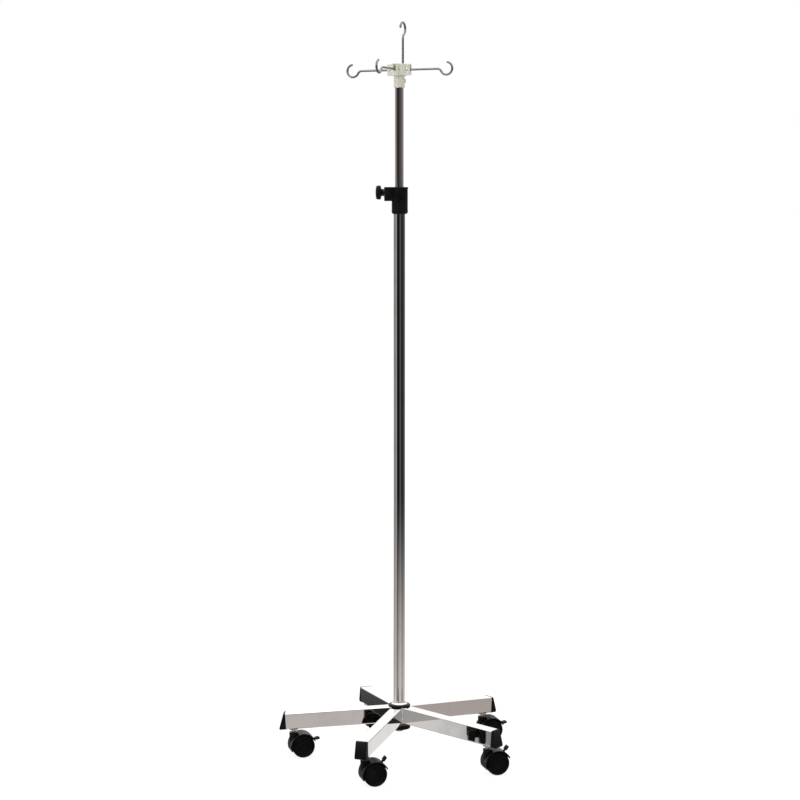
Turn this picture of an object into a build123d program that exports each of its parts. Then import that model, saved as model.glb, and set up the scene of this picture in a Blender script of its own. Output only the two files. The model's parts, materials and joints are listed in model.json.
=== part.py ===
from build123d import *
import os
from math import atan2, cos, degrees, radians, sin, sqrt, tan

# A five-legged rolling infusion stand: chrome box-section legs on twin-wheel
# casters, a two-stage round mast held by a clamp collar, and a plastic head
# with four folding wire hooks.
# Millimetres, +Z up, origin on the floor under the mast's axis, -Y to the front.

# ---- spider base -------------------------------------------------------------
LEG_NAMES = ["left", "front_left", "front_right", "back_right", "back_left"]
FIRST_LEG_AZIMUTH = 180.0
LEG_STEP = 360.0 / len(LEG_NAMES)
LEG_END_RADIUS = 248.0
LEG_END_TOP = 98.0
LEG_WIDTH = 25.0
LEG_HEIGHT = 35.0
LEG_WALL = 1.5
LEG_CORNER = 2.5
LEG_SLOPE = 3.9
MITRE_GAP = 0.05

HUB_CORE_RADIUS = 14.5
HUB_BOTTOM = 72.5
HUB_TOP = 113.8
RING_RADIUS = 24.0
RING_TOP = 117.6
BOTTOM_RING_RADIUS = 24.0
BOTTOM_RING_BOTTOM = 64.5
FLANGE_RADIUS = 17.2
FLANGE_RIM = 1.5
FLANGE_HEIGHT = 7.0
BASE_BOLT_RADIUS = 5.0
BASE_BOLT_HEAD_FLATS = 17.0
BASE_BOLT_HEAD = 6.0
BASE_BOLT_TOP = 100.0

CAP_NOSE_TOP = 4.0
CAP_NOSE_BOTTOM = 16.0
CAP_PLUG = 4.5
CAP_PLUG_GAP = 0.2
CAP_EDGE = 2.2

# ---- casters -----------------------------------------------------------------
STEM_CIRCLE_RADIUS = 230.0
CASTER_TRAIL_AZIMUTH = 15.0
CASTER_TRAIL = 19.0
WHEEL_RADIUS = 25.0
WHEEL_INNER = 5.0
WHEEL_OUTER = 19.0
WHEEL_DOME = 0.6
AXLE_RADIUS = 3.0
AXLE_END = 16.8
HOOD_RADIUS = 28.6
HOOD_INNER_RADIUS = 26.2
HOOD_HALF_WIDTH = 19.6
WEB_HALF_WIDTH = 4.7
HOOD_CUT_FRONT = -11.0
HOOD_CUT_BACK = 13.0
HOOD_TOP = 55.0
SWIVEL_BOSS_RADIUS = 9.5
SOCKET_BOTTOM = 45.0
STEM_RADIUS = 4.0
STEM_COLLAR_RADIUS = 9.5
STEM_COLLAR_BOTTOM = 60.6
STEM_COLLAR_TOP = 63.2
STEM_THREAD_RADIUS = 5.0
STEM_TOP = 78.0
STEM_NUT_FLATS = 17.0
STEM_NUT_BOTTOM = 67.0
STEM_NUT_HEIGHT = 6.0

LEVER_PIVOT = (5.7, 7.5)
LEVER_RAISED_ANGLE = 52.9
LEVER_LOWERED_ANGLE = 11.7
LEVER_LOWERED_CASTERS = ["left", "back_right"]
LEVER_BOSS_RADIUS = 4.0
LEVER_HALF_WIDTH = 2.4
LEVER_SLOT_HALF_WIDTH = 2.7
LEVER_ARM_RADIUS = 2.0
LEVER_PIN_RADIUS = 1.5
PEDAL_START = 22.5
PEDAL_END = 33.0
PEDAL_HALF_WIDTH = 6.5
PEDAL_THICKNESS = 4.0

# ---- mast --------------------------------------------------------------------
LOWER_RADIUS = 12.5
LOWER_WALL = 1.5
LOWER_TOP = 1212.8
UPPER_RADIUS = 9.5
UPPER_WALL = 1.2
UPPER_TOP = 1444.0
STROKE_UP = 620.0
BUSH_LENGTH = 50.0

COLLAR_BOTTOM = 1178.0
COLLAR_TOP = 1235.0
COLLAR_RADIUS = 17.2
COLLAR_SHIFT = 1.0
COLLAR_LIP = 3.5
COLLAR_LIP_RADIUS = 18.0
COLLAR_SHOULDER = 1213.0
CLAMP_BOSS_END = -32.0
CLAMP_BOSS_BOTTOM = 1205.5
CLAMP_BOSS_WIDTH = 26.0
CLAMP_AXIS_Z = 1223.5
CLAMP_SCREW_RADIUS = 4.0
INSERT_RADIUS = 6.0
INSERT_LENGTH = 12.0
PAD_FACE = -9.8
PAD_LENGTH = 4.0
KNOB_RADIUS = 15.0
KNOB_NECK_RADIUS = 8.0
KNOB_NECK_START = -32.6
KNOB_DISC_START = -39.0
KNOB_END = -50.5
KNOB_FLUTES = 18

# ---- hook head ---------------------------------------------------------------
NECK_RADIUS = 11.5
HEAD_BOTTOM = 1469.0
HEAD_TOP = 1493.0
HEAD_CORE_RADIUS = 19.0
ARM_RADIUS = 26.0
ARM_WIDTH = 14.5
SPIGOT_BOTTOM = 1412.0
HOOK_AXIS_Z = 1481.0
HOOK_AZIMUTHS = {"right": -23.0, "back": 67.0, "left": 157.0, "front": 247.0}
RAISED_HOOKS = ["back"]
HOOK_PIVOT_RADIUS = 19.5
HOOK_WIRE_RADIUS = 2.4
HOOK_EYE_RADIUS = 4.1
HOOK_PIN_RADIUS = 1.5
HOOK_SLOT_HALF_WIDTH = 2.8
HOOK_GAP = 0.3
KNEE_BEND_RADIUS = 10.0
CURL_RADIUS = 13.0
CURL_CENTRE = (107.0, 0.5)
CURL_TIP_ANGLE = 78.0
SET_SCREW_Z = 1457.5
SET_SCREW_RADIUS = 2.5
SET_BOSS_RADIUS = 4.2
SET_BOSS_END = 14.0

# ---- clearances --------------------------------------------------------------
FIXED_FIT = 0.05
RUNNING_FIT = 0.06
AIR = 0.3

# ---- values worked out from the driving dimensions -----------------------------
SLOPE = radians(LEG_SLOPE)
LEG_AXIS_END_RADIUS = LEG_END_RADIUS - LEG_HEIGHT / 2 * sin(SLOPE)
LEG_LENGTH = LEG_AXIS_END_RADIUS / cos(SLOPE)
LEG_AXIS_Z = LEG_END_TOP - LEG_HEIGHT / 2 * cos(SLOPE) + LEG_AXIS_END_RADIUS * tan(SLOPE)
LOWER_BORE = LOWER_RADIUS - LOWER_WALL
BUSH_TOP = COLLAR_SHOULDER - AIR - STROKE_UP
BUSH_BOTTOM = BUSH_TOP - BUSH_LENGTH
UPPER_BOTTOM = BUSH_BOTTOM + 5.0
UP_FROM_BOTTOM = (Align.CENTER, Align.CENTER, Align.MIN)


def rod(radius, bottom, top):
    """Upright cylinder on the Z axis between two heights."""
    return Pos(0, 0, bottom) * Cylinder(radius, top - bottom, align=UP_FROM_BOTTOM)


def rod_y(radius, half_length, x, z):
    """Cylinder along Y, centred on y = 0, through the point (x, z)."""
    return Pos(x, 0, z) * Rot(90, 0, 0) * Cylinder(radius, 2 * half_length)


def rod_x(radius, start, end, z):
    """Cylinder along X between two x positions, at height z."""
    return Pos(min(start, end), 0, z) * Rot(0, 90, 0) * Cylinder(radius, abs(end - start), align=UP_FROM_BOTTOM)


def dome_arc(radius, edge, crown):
    """Arc from a rim on the profile's radius to a crown on the axis, centred on the axis."""
    rise = crown - edge
    sphere = (radius**2 + rise**2) / (2 * rise)
    middle = radius / 2
    height = crown - sphere + (sphere / abs(sphere)) * sqrt(sphere**2 - middle**2)
    return ThreePointArc((radius, edge), (middle, height), (0, crown))


def hexagon(flats, bottom, height):
    """Upright hexagonal prism, sized across its flats."""
    return Pos(0, 0, bottom) * extrude(RegularPolygon(flats / 2, 6, major_radius=False), height)


def azimuth_of(index):
    """Direction of one leg, in degrees from +X."""
    return FIRST_LEG_AZIMUTH + index * LEG_STEP


# ---- base ----------------------------------------------------------------------
def make_leg(index):
    """Box-section leg: mitred against its neighbours, notched for the hub core."""
    outer = RectangleRounded(LEG_WIDTH, LEG_HEIGHT, LEG_CORNER)
    inner = RectangleRounded(LEG_WIDTH - 2 * LEG_WALL, LEG_HEIGHT - 2 * LEG_WALL, LEG_CORNER - LEG_WALL)
    tube = extrude(Plane.YZ * (outer - inner), LEG_LENGTH)
    tube = Pos(0, 0, LEG_AXIS_Z) * Rot(0, LEG_SLOPE, 0) * tube
    reach = LEG_END_RADIUS + LEG_HEIGHT
    half = reach * tan(radians(LEG_STEP / 2))
    wedge = Polygon((MITRE_GAP, 0), (reach, -half), (reach, half), align=None)
    tube = tube & extrude(wedge, LEG_END_TOP + LEG_HEIGHT)
    tube = tube - rod(HUB_CORE_RADIUS + FIXED_FIT, 0, LEG_END_TOP + LEG_HEIGHT)
    stem_hole = Pos(STEM_CIRCLE_RADIUS, 0, 0) * rod(STEM_THREAD_RADIUS + FIXED_FIT, STEM_COLLAR_TOP - 5, STEM_TOP)
    return Rot(0, 0, azimuth_of(index)) * (tube - stem_hole)


def make_leg_cap(index):
    """Plastic nose on the leg's open end, with a plug that sits in the tube."""
    half = LEG_HEIGHT / 2
    outline = Polyline((0, -half), (CAP_NOSE_BOTTOM, -half), (CAP_NOSE_TOP, half), (0, half), close=True)
    nose = extrude(Plane.XZ * make_face(outline), LEG_WIDTH / 2, both=True)
    nose = fillet(nose.faces().sort_by(Axis.X)[-1].edges(), CAP_EDGE)
    inside = 2 * (LEG_WALL + CAP_PLUG_GAP)
    section = RectangleRounded(LEG_WIDTH - inside, LEG_HEIGHT - inside, LEG_CORNER)
    section = section - RectangleRounded(LEG_WIDTH - inside - 4, LEG_HEIGHT - inside - 4, 1.0)
    plug = Pos(-CAP_PLUG, 0, 0) * extrude(Plane.YZ * section, CAP_PLUG + 1)
    cap = nose + plug
    along_leg = Pos(0, 0, LEG_AXIS_Z) * Rot(0, LEG_SLOPE, 0) * Pos(LEG_LENGTH, 0, 0)
    return Rot(0, 0, azimuth_of(index)) * along_leg * cap


def make_hub_core():
    """Tube that the legs are welded to and the mast stands in."""
    return rod(HUB_CORE_RADIUS, HUB_BOTTOM, HUB_TOP) - rod(LOWER_RADIUS + FIXED_FIT, HUB_BOTTOM, HUB_TOP)


def make_top_ring():
    """Thin black washer on top of the legs, around the mast."""
    ring = rod(RING_RADIUS, HUB_TOP + AIR / 3, RING_TOP) - rod(LOWER_RADIUS + FIXED_FIT, HUB_TOP, RING_TOP)
    return fillet(ring.edges().sort_by(SortBy.LENGTH)[-2:], 1.0)


def make_bottom_ring():
    """Black disc that closes the hub from below and takes the base bolt."""
    disc = rod(BOTTOM_RING_RADIUS, BOTTOM_RING_BOTTOM, HUB_BOTTOM)
    disc = fillet(disc.edges().sort_by(Axis.Z)[0], 1.5)
    return disc - rod(BASE_BOLT_RADIUS + FIXED_FIT, BOTTOM_RING_BOTTOM, HUB_BOTTOM)


def make_base_bolt():
    """Hexagon bolt up through the bottom disc into the plug in the mast."""
    head_bottom = BOTTOM_RING_BOTTOM - BASE_BOLT_HEAD
    return hexagon(BASE_BOLT_HEAD_FLATS, head_bottom, BASE_BOLT_HEAD) + rod(
        BASE_BOLT_RADIUS, head_bottom, BASE_BOLT_TOP
    )


def make_mast_plug():
    """Threaded steel plug pressed into the foot of the lower tube."""
    plug = rod(LOWER_BORE - FIXED_FIT, HUB_BOTTOM + 1, BASE_BOLT_TOP + 4)
    return plug - rod(BASE_BOLT_RADIUS + FIXED_FIT, HUB_BOTTOM, BASE_BOLT_TOP + 1)


def make_foot_flange():
    """Chrome flare that covers the joint between the mast and the ring."""
    bore = LOWER_RADIUS + FIXED_FIT
    base = RING_TOP + AIR / 3
    top = base + FLANGE_HEIGHT
    outline = [
        Line((bore, base), (FLANGE_RADIUS, base)),
        Line((FLANGE_RADIUS, base), (FLANGE_RADIUS, base + FLANGE_RIM)),
        ThreePointArc((FLANGE_RADIUS, base + FLANGE_RIM), (14.4, base + 3.3), (bore + 1.0, top)),
        Line((bore + 1.0, top), (bore, top)),
        Line((bore, top), (bore, base)),
    ]
    return revolve(Plane.XZ * make_face(outline), Axis.Z)


def make_stems():
    """The five swivel stems, each with its collar and threaded top."""
    stem = rod(STEM_RADIUS, SOCKET_BOTTOM + AIR, STEM_COLLAR_BOTTOM)
    stem = stem + rod(STEM_COLLAR_RADIUS, STEM_COLLAR_BOTTOM, STEM_COLLAR_TOP)
    stem = stem + rod(STEM_THREAD_RADIUS, STEM_COLLAR_TOP, STEM_TOP)
    return Compound(children=[stem_frame(index) * stem for index in range(len(LEG_NAMES))])


def make_stem_nuts():
    """The five nuts that hold the stems inside the legs."""
    nut = hexagon(STEM_NUT_FLATS, STEM_NUT_BOTTOM, STEM_NUT_HEIGHT)
    nut = nut - rod(STEM_THREAD_RADIUS + FIXED_FIT, STEM_NUT_BOTTOM, STEM_NUT_BOTTOM + STEM_NUT_HEIGHT)
    return Compound(children=[stem_frame(index) * nut for index in range(len(LEG_NAMES))])


# ---- casters -------------------------------------------------------------------
def stem_frame(index):
    """Frame on one caster's swivel axis, turned with its leg."""
    return Rot(0, 0, azimuth_of(index)) * Pos(STEM_CIRCLE_RADIUS, 0, 0)


def caster_frame(index):
    """Frame on one caster's swivel axis, with X along the way the caster trails."""
    azimuth = radians(azimuth_of(index))
    x = STEM_CIRCLE_RADIUS * cos(azimuth)
    y = STEM_CIRCLE_RADIUS * sin(azimuth)
    return Pos(x, y, 0) * Rot(0, 0, CASTER_TRAIL_AZIMUTH)


def hood_keep():
    """The space above the hood's slanting lower edge."""
    rise = degrees(atan2(HOOD_CUT_BACK - HOOD_CUT_FRONT, 2 * HOOD_RADIUS))
    middle = (HOOD_CUT_BACK + HOOD_CUT_FRONT) / 2
    block = Box(200, 100, 100, align=UP_FROM_BOTTOM)
    return Pos(CASTER_TRAIL, 0, WHEEL_RADIUS + middle) * Rot(0, -rise, 0) * block


def lever_reach(angle, distance):
    """Point at a distance from the lever's pivot, in the caster's X-Z plane."""
    x = CASTER_TRAIL + LEVER_PIVOT[0] + distance * cos(radians(angle))
    z = WHEEL_RADIUS + LEVER_PIVOT[1] + distance * sin(radians(angle))
    return (x, z)


def hull_of_circles(circles):
    """Face that wraps circles given as (x, z, radius), in the X-Z plane."""
    outlines = [Pos(x, z, 0) * Circle(radius) for x, z, radius in circles]
    return Plane.XZ * make_hull([outline.edge() for outline in outlines])


def lever_slot():
    """The space that the lever's boss and arm sweep through the web."""
    margin = LEVER_ARM_RADIUS + AIR + 0.1
    pivot = lever_reach(0, 0)
    low = lever_reach(LEVER_LOWERED_ANGLE, PEDAL_END)
    high = lever_reach(LEVER_RAISED_ANGLE, PEDAL_END)
    sweep_face = hull_of_circles([(*pivot, margin), (*low, margin), (*high, margin)])
    slot = extrude(sweep_face, LEVER_SLOT_HALF_WIDTH, both=True)
    return slot + rod_y(LEVER_BOSS_RADIUS + AIR, LEVER_SLOT_HALF_WIDTH, *pivot)


def make_hood(index):
    """Caster body: arched hood, middle web, axle seat and swivel boss."""
    body = rod_y(HOOD_RADIUS, HOOD_HALF_WIDTH, CASTER_TRAIL, WHEEL_RADIUS) & hood_keep()
    body = body + rod(SWIVEL_BOSS_RADIUS, WHEEL_RADIUS, HOOD_TOP)
    pocket_depth = SWIVEL_BOSS_RADIUS + HOOD_HALF_WIDTH
    for side in (1, -1):
        pocket = rod_y(HOOD_INNER_RADIUS, pocket_depth / 2, CASTER_TRAIL, WHEEL_RADIUS)
        body = body - Pos(0, side * (WEB_HALF_WIDTH + pocket_depth / 2), 0) * pocket
    body = body & (hood_keep() + rod(SWIVEL_BOSS_RADIUS, WHEEL_RADIUS + 10, HOOD_TOP))
    body = body + rod_y(9.0, WEB_HALF_WIDTH, CASTER_TRAIL, WHEEL_RADIUS)
    body = body - rod_y(AXLE_RADIUS + FIXED_FIT, WEB_HALF_WIDTH, CASTER_TRAIL, WHEEL_RADIUS)
    body = body - rod(STEM_RADIUS + RUNNING_FIT, SOCKET_BOTTOM, HOOD_TOP)
    body = body - lever_slot()
    body = body - rod_y(LEVER_PIN_RADIUS + RUNNING_FIT, WEB_HALF_WIDTH, *lever_reach(0, 0))
    return caster_frame(index) * body


def make_axle(index):
    """Steel axle through the web, with a wheel on each end."""
    return caster_frame(index) * rod_y(AXLE_RADIUS, AXLE_END, CASTER_TRAIL, WHEEL_RADIUS)


def make_wheel(index, side):
    """Moulded wheel: rounded tread, recessed face and a shallow domed hub cap."""
    bore = AXLE_RADIUS + RUNNING_FIT
    blind = AXLE_END + AIR
    recess = WHEEL_OUTER - 1.2
    shoulder = 3.0
    outline = [
        Line((bore, WHEEL_INNER), (WHEEL_RADIUS - 1, WHEEL_INNER)),
        Line((WHEEL_RADIUS - 1, WHEEL_INNER), (WHEEL_RADIUS, WHEEL_INNER + 1)),
        Line((WHEEL_RADIUS, WHEEL_INNER + 1), (WHEEL_RADIUS, WHEEL_OUTER - shoulder)),
        RadiusArc((WHEEL_RADIUS, WHEEL_OUTER - shoulder), (WHEEL_RADIUS - shoulder, WHEEL_OUTER), -shoulder),
        Line((WHEEL_RADIUS - shoulder, WHEEL_OUTER), (19.0, WHEEL_OUTER)),
        Line((19.0, WHEEL_OUTER), (18.2, recess)),
        Line((18.2, recess), (10.6, recess)),
        Line((10.6, recess), (10.0, WHEEL_OUTER - 0.2)),
        dome_arc(10.0, WHEEL_OUTER - 0.2, WHEEL_OUTER + WHEEL_DOME),
        Line((0, WHEEL_OUTER + WHEEL_DOME), (0, blind)),
        Line((0, blind), (bore, blind)),
        Line((bore, blind), (bore, WHEEL_INNER)),
    ]
    wheel = revolve(make_face(outline), Axis.Y)
    if side < 0:
        wheel = mirror(wheel, Plane.XZ)
    return caster_frame(index) * Pos(CASTER_TRAIL, 0, WHEEL_RADIUS) * wheel


def make_brake_lever(index):
    """Brake pedal on an arm, turning on its own trunnions in the web."""
    pivot = lever_reach(0, 0)
    arm_end = lever_reach(0, PEDAL_START + 2)
    arm_face = hull_of_circles([(*pivot, LEVER_ARM_RADIUS), (*arm_end, PEDAL_THICKNESS / 2)])
    lever = extrude(arm_face, LEVER_HALF_WIDTH, both=True)
    lever = lever + rod_y(LEVER_BOSS_RADIUS, LEVER_HALF_WIDTH, *pivot)
    lever = lever + rod_y(LEVER_PIN_RADIUS, WEB_HALF_WIDTH - 0.1, *pivot)
    half = PEDAL_THICKNESS / 2
    root = lever_reach(0, PEDAL_START + half)
    tip = lever_reach(0, PEDAL_END - half)
    pedal = extrude(hull_of_circles([(*root, half), (*tip, half)]), PEDAL_HALF_WIDTH, both=True)
    lever = lever + pedal
    lowered = LEG_NAMES[index] in LEVER_LOWERED_CASTERS
    angle = LEVER_LOWERED_ANGLE if lowered else LEVER_RAISED_ANGLE
    turn = Pos(pivot[0], 0, pivot[1]) * Rot(0, -angle, 0) * Pos(-pivot[0], 0, -pivot[1])
    return caster_frame(index) * turn * lever


# ---- mast ----------------------------------------------------------------------
def make_lower_tube():
    """Chrome lower tube, from the hub up into the collar."""
    return rod(LOWER_RADIUS, HUB_BOTTOM + 0.1, LOWER_TOP) - rod(LOWER_BORE, HUB_BOTTOM, LOWER_TOP)


def make_upper_tube():
    """Chrome upper tube that slides in the lower one."""
    return rod(UPPER_RADIUS, UPPER_BOTTOM, UPPER_TOP) - rod(UPPER_RADIUS - UPPER_WALL, UPPER_BOTTOM, UPPER_TOP)


def make_guide_bush():
    """Nylon bush on the foot of the upper tube, running inside the lower one."""
    bush = rod(LOWER_BORE - RUNNING_FIT, BUSH_BOTTOM, BUSH_TOP)
    bush = bush - rod(UPPER_RADIUS + RUNNING_FIT, UPPER_BOTTOM - AIR, BUSH_TOP)
    return bush - rod(UPPER_RADIUS - UPPER_WALL - 1, BUSH_BOTTOM, BUSH_TOP)


def make_collar():
    """Clamp collar with its side boss: seats on the lower tube, guides the upper."""
    body = Pos(COLLAR_SHIFT, 0, 0) * rod(COLLAR_RADIUS, COLLAR_BOTTOM, COLLAR_TOP)
    body = chamfer(body.edges().sort_by(Axis.Z)[0], 3.0)
    lip = Pos(COLLAR_SHIFT, 0, 0) * rod(COLLAR_LIP_RADIUS, COLLAR_TOP - COLLAR_LIP, COLLAR_TOP)
    height = COLLAR_TOP - CLAMP_BOSS_BOTTOM
    boss = extrude(Plane.XY * RectangleRounded(-CLAMP_BOSS_END + 10, CLAMP_BOSS_WIDTH, 4.0), height)
    boss = Pos((CLAMP_BOSS_END + 10) / 2, 0, CLAMP_BOSS_BOTTOM) * boss
    boss = fillet(boss.edges().group_by(Axis.Z)[0], 1.2)
    body = body + lip + boss
    body = fillet(body.edges().group_by(Axis.Z)[-1], 1.0)
    body = body - rod(LOWER_RADIUS + FIXED_FIT, COLLAR_BOTTOM, COLLAR_SHOULDER)
    body = body - rod(UPPER_RADIUS + RUNNING_FIT, COLLAR_SHOULDER, COLLAR_TOP)
    insert_start = CLAMP_BOSS_END + 1
    body = body - rod_x(INSERT_RADIUS + FIXED_FIT, insert_start, insert_start + INSERT_LENGTH, CLAMP_AXIS_Z)
    return body - rod_x(CLAMP_SCREW_RADIUS + AIR, CLAMP_BOSS_END - 1, 0, CLAMP_AXIS_Z)


def make_clamp_insert():
    """Threaded brass insert in the collar's boss."""
    start = CLAMP_BOSS_END + 1
    insert = rod_x(INSERT_RADIUS, start, start + INSERT_LENGTH, CLAMP_AXIS_Z)
    return insert - rod_x(CLAMP_SCREW_RADIUS + RUNNING_FIT, start, start + INSERT_LENGTH, CLAMP_AXIS_Z)


def make_pressure_pad():
    """Soft pad that the clamp screw presses on the upper tube."""
    return rod_x(CLAMP_SCREW_RADIUS - AIR / 2, PAD_FACE - PAD_LENGTH, PAD_FACE, CLAMP_AXIS_Z)


def make_clamp_screw():
    """Clamp screw, from behind the pad into the knob."""
    return rod_x(CLAMP_SCREW_RADIUS, KNOB_DISC_START - 4, PAD_FACE - PAD_LENGTH - 0.1, CLAMP_AXIS_Z)


def make_knob():
    """Round clamp knob: neck, domed disc and a fluted rim."""
    rim = KNOB_DISC_START - 7
    face = KNOB_END + 1.2
    outline = [
        Line((0, KNOB_NECK_START), (KNOB_NECK_RADIUS, KNOB_NECK_START)),
        Line((KNOB_NECK_RADIUS, KNOB_NECK_START), (KNOB_NECK_RADIUS - 1, KNOB_DISC_START + 1.5)),
        Line((KNOB_NECK_RADIUS - 1, KNOB_DISC_START + 1.5), (KNOB_RADIUS - 1.5, KNOB_DISC_START)),
        Line((KNOB_RADIUS - 1.5, KNOB_DISC_START), (KNOB_RADIUS, KNOB_DISC_START - 1.5)),
        Line((KNOB_RADIUS, KNOB_DISC_START - 1.5), (KNOB_RADIUS, rim)),
        ThreePointArc((KNOB_RADIUS, rim), (KNOB_RADIUS - 1, rim - 2.2), (KNOB_RADIUS - 3.2, face)),
        dome_arc(KNOB_RADIUS - 3.2, face, KNOB_END),
        Line((0, KNOB_END), (0, KNOB_NECK_START)),
    ]
    knob = revolve(make_face(outline), Axis.Y)
    for step in range(KNOB_FLUTES):
        angle = radians(step * 360 / KNOB_FLUTES)
        place = Pos((KNOB_RADIUS + 0.9) * cos(angle), KNOB_END + 5, (KNOB_RADIUS + 0.9) * sin(angle))
        knob = knob - place * Rot(90, 0, 0) * Cylinder(1.6, 20)
    knob = Pos(0, 0, CLAMP_AXIS_Z) * Rot(0, 0, -90) * knob
    return knob - rod_x(CLAMP_SCREW_RADIUS + FIXED_FIT, KNOB_DISC_START - 4 - AIR, KNOB_NECK_START, CLAMP_AXIS_Z)


# ---- hook head -----------------------------------------------------------------
def make_hook_head():
    """Moulded head: neck on a spigot and four slotted arms for the hooks."""
    height = HEAD_TOP - HEAD_BOTTOM
    block = Circle(HEAD_CORE_RADIUS)
    for azimuth in (-23.0, 67.0):
        block = block + Rot(0, 0, azimuth) * RectangleRounded(2 * ARM_RADIUS, ARM_WIDTH, 3.0)
    head = Pos(0, 0, HEAD_BOTTOM) * extrude(block, height)
    head = fillet(head.edges().group_by(Axis.Z)[-1], 1.5)
    head = chamfer(head.edges().group_by(Axis.Z)[0], 1.5)
    head = head + rod(NECK_RADIUS, UPPER_TOP + 0.1, HEAD_BOTTOM + 2)
    head = head + rod(UPPER_RADIUS - UPPER_WALL - FIXED_FIT, SPIGOT_BOTTOM, UPPER_TOP + 1)
    head = head + rod_x(SET_BOSS_RADIUS, 0, SET_BOSS_END, SET_SCREW_Z)
    head = head - rod_x(SET_SCREW_RADIUS + FIXED_FIT, 4.0, SET_BOSS_END, SET_SCREW_Z)
    for azimuth in HOOK_AZIMUTHS.values():
        head = head - Rot(0, 0, azimuth) * hook_slot()
    return head


def hook_slot():
    """Slot in one arm: room for the eye, a resting lip and the pivot pin's hole."""
    eye = HOOK_EYE_RADIUS + HOOK_GAP
    width = 2 * HOOK_SLOT_HALF_WIDTH
    corner = (Align.MIN, Align.CENTER, Align.MIN)
    rim = HOOK_PIVOT_RADIUS + eye
    eye_room = Pos(HOOK_PIVOT_RADIUS - eye, 0, HOOK_AXIS_Z - eye) * Box(2 * eye, width, 2 * eye, align=corner)
    wire_start = HOOK_PIVOT_RADIUS - HOOK_WIRE_RADIUS - HOOK_GAP
    wire_floor = HOOK_AXIS_Z - HOOK_WIRE_RADIUS - HOOK_GAP
    top_room = HEAD_TOP - HOOK_AXIS_Z + 5
    wire_room = Pos(wire_start, 0, HOOK_AXIS_Z) * Box(ARM_RADIUS, width, top_room, align=corner)
    lip_room = Pos(rim, 0, wire_floor) * Box(ARM_RADIUS, width, top_room, align=corner)
    pin_hole = rod_y(HOOK_PIN_RADIUS + FIXED_FIT, ARM_WIDTH, HOOK_PIVOT_RADIUS, HOOK_AXIS_Z)
    return eye_room + wire_room + lip_room + pin_hole


def make_set_screw():
    """Set screw that locks the head on the mast."""
    return rod_x(SET_SCREW_RADIUS, 4.5, SET_BOSS_END - 0.6, SET_SCREW_Z)


def make_hook_pins():
    """The four pivot pins of the hooks."""
    pin = rod_y(HOOK_PIN_RADIUS, ARM_WIDTH / 2 - 0.3, HOOK_PIVOT_RADIUS, HOOK_AXIS_Z)
    return Compound(children=[Rot(0, 0, azimuth) * pin for azimuth in HOOK_AZIMUTHS.values()])


def make_hook(name):
    """Wire hook: eye, straight shank, a bend down and an open curl."""
    centre_x, centre_z = CURL_CENTRE
    drop = centre_z + KNEE_BEND_RADIUS
    reach = KNEE_BEND_RADIUS + CURL_RADIUS
    knee_x = centre_x - sqrt(reach**2 - drop**2)
    join_angle = degrees(atan2(drop, centre_x - knee_x))
    shank_start = HOOK_PIVOT_RADIUS + HOOK_EYE_RADIUS - 1.5
    shank = Line((shank_start, 0), (knee_x, 0))
    knee = CenterArc((knee_x, -KNEE_BEND_RADIUS), KNEE_BEND_RADIUS, 90, join_angle - 90)
    curl_sweep = 180 - join_angle + CURL_TIP_ANGLE
    curl = CenterArc(CURL_CENTRE, CURL_RADIUS, 180 + join_angle, curl_sweep)
    path = Plane.XZ * Wire([shank, knee, curl])
    section = Plane(origin=(shank_start, 0, 0), z_dir=(1, 0, 0)) * Circle(HOOK_WIRE_RADIUS)
    wire = sweep(section, path=path)
    tip_x = centre_x + CURL_RADIUS * cos(radians(CURL_TIP_ANGLE))
    tip_z = centre_z + CURL_RADIUS * sin(radians(CURL_TIP_ANGLE))
    wire = wire + Pos(tip_x, 0, tip_z) * Sphere(HOOK_WIRE_RADIUS)
    eye = rod_y(HOOK_EYE_RADIUS, HOOK_WIRE_RADIUS, HOOK_PIVOT_RADIUS, 0)
    hole = rod_y(HOOK_PIN_RADIUS + RUNNING_FIT, HOOK_WIRE_RADIUS, HOOK_PIVOT_RADIUS, 0)
    hook = (wire + eye) - hole
    if name in RAISED_HOOKS:
        hook = Pos(HOOK_PIVOT_RADIUS, 0, 0) * Rot(0, -90, 0) * Pos(-HOOK_PIVOT_RADIUS, 0, 0) * hook
    return Rot(0, 0, HOOK_AZIMUTHS[name]) * Pos(0, 0, HOOK_AXIS_Z) * hook


# ---- all the pieces ------------------------------------------------------------
def all_nodes():
    """Every named piece of the stand, in place."""
    nodes = {
        "hub_core": make_hub_core(),
        "hub_top_ring": make_top_ring(),
        "hub_bottom_ring": make_bottom_ring(),
        "hub_base_bolt": make_base_bolt(),
        "mast_foot_plug": make_mast_plug(),
        "mast_foot_flange": make_foot_flange(),
        "caster_stems": make_stems(),
        "caster_stem_nuts": make_stem_nuts(),
        "mast_lower_tube": make_lower_tube(),
        "mast_upper_tube": make_upper_tube(),
        "mast_guide_bush": make_guide_bush(),
        "clamp_collar": make_collar(),
        "clamp_insert": make_clamp_insert(),
        "clamp_pressure_pad": make_pressure_pad(),
        "clamp_screw": make_clamp_screw(),
        "clamp_knob": make_knob(),
        "hook_head": make_hook_head(),
        "hook_head_set_screw": make_set_screw(),
        "hook_pins": make_hook_pins(),
    }
    for name in HOOK_AZIMUTHS:
        nodes[f"hook_{name}"] = make_hook(name)
    for index, name in enumerate(LEG_NAMES):
        nodes[f"leg_{name}"] = make_leg(index)
        nodes[f"leg_cap_{name}"] = make_leg_cap(index)
        nodes[f"caster_hood_{name}"] = make_hood(index)
        nodes[f"caster_axle_{name}"] = make_axle(index)
        nodes[f"caster_wheel_outer_{name}"] = make_wheel(index, 1)
        nodes[f"caster_wheel_inner_{name}"] = make_wheel(index, -1)
        nodes[f"brake_lever_{name}"] = make_brake_lever(index)
    return nodes


os.makedirs("parts", exist_ok=True)
for node, shape in all_nodes().items():
    export_step(shape, f"parts/{node}.step")
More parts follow.
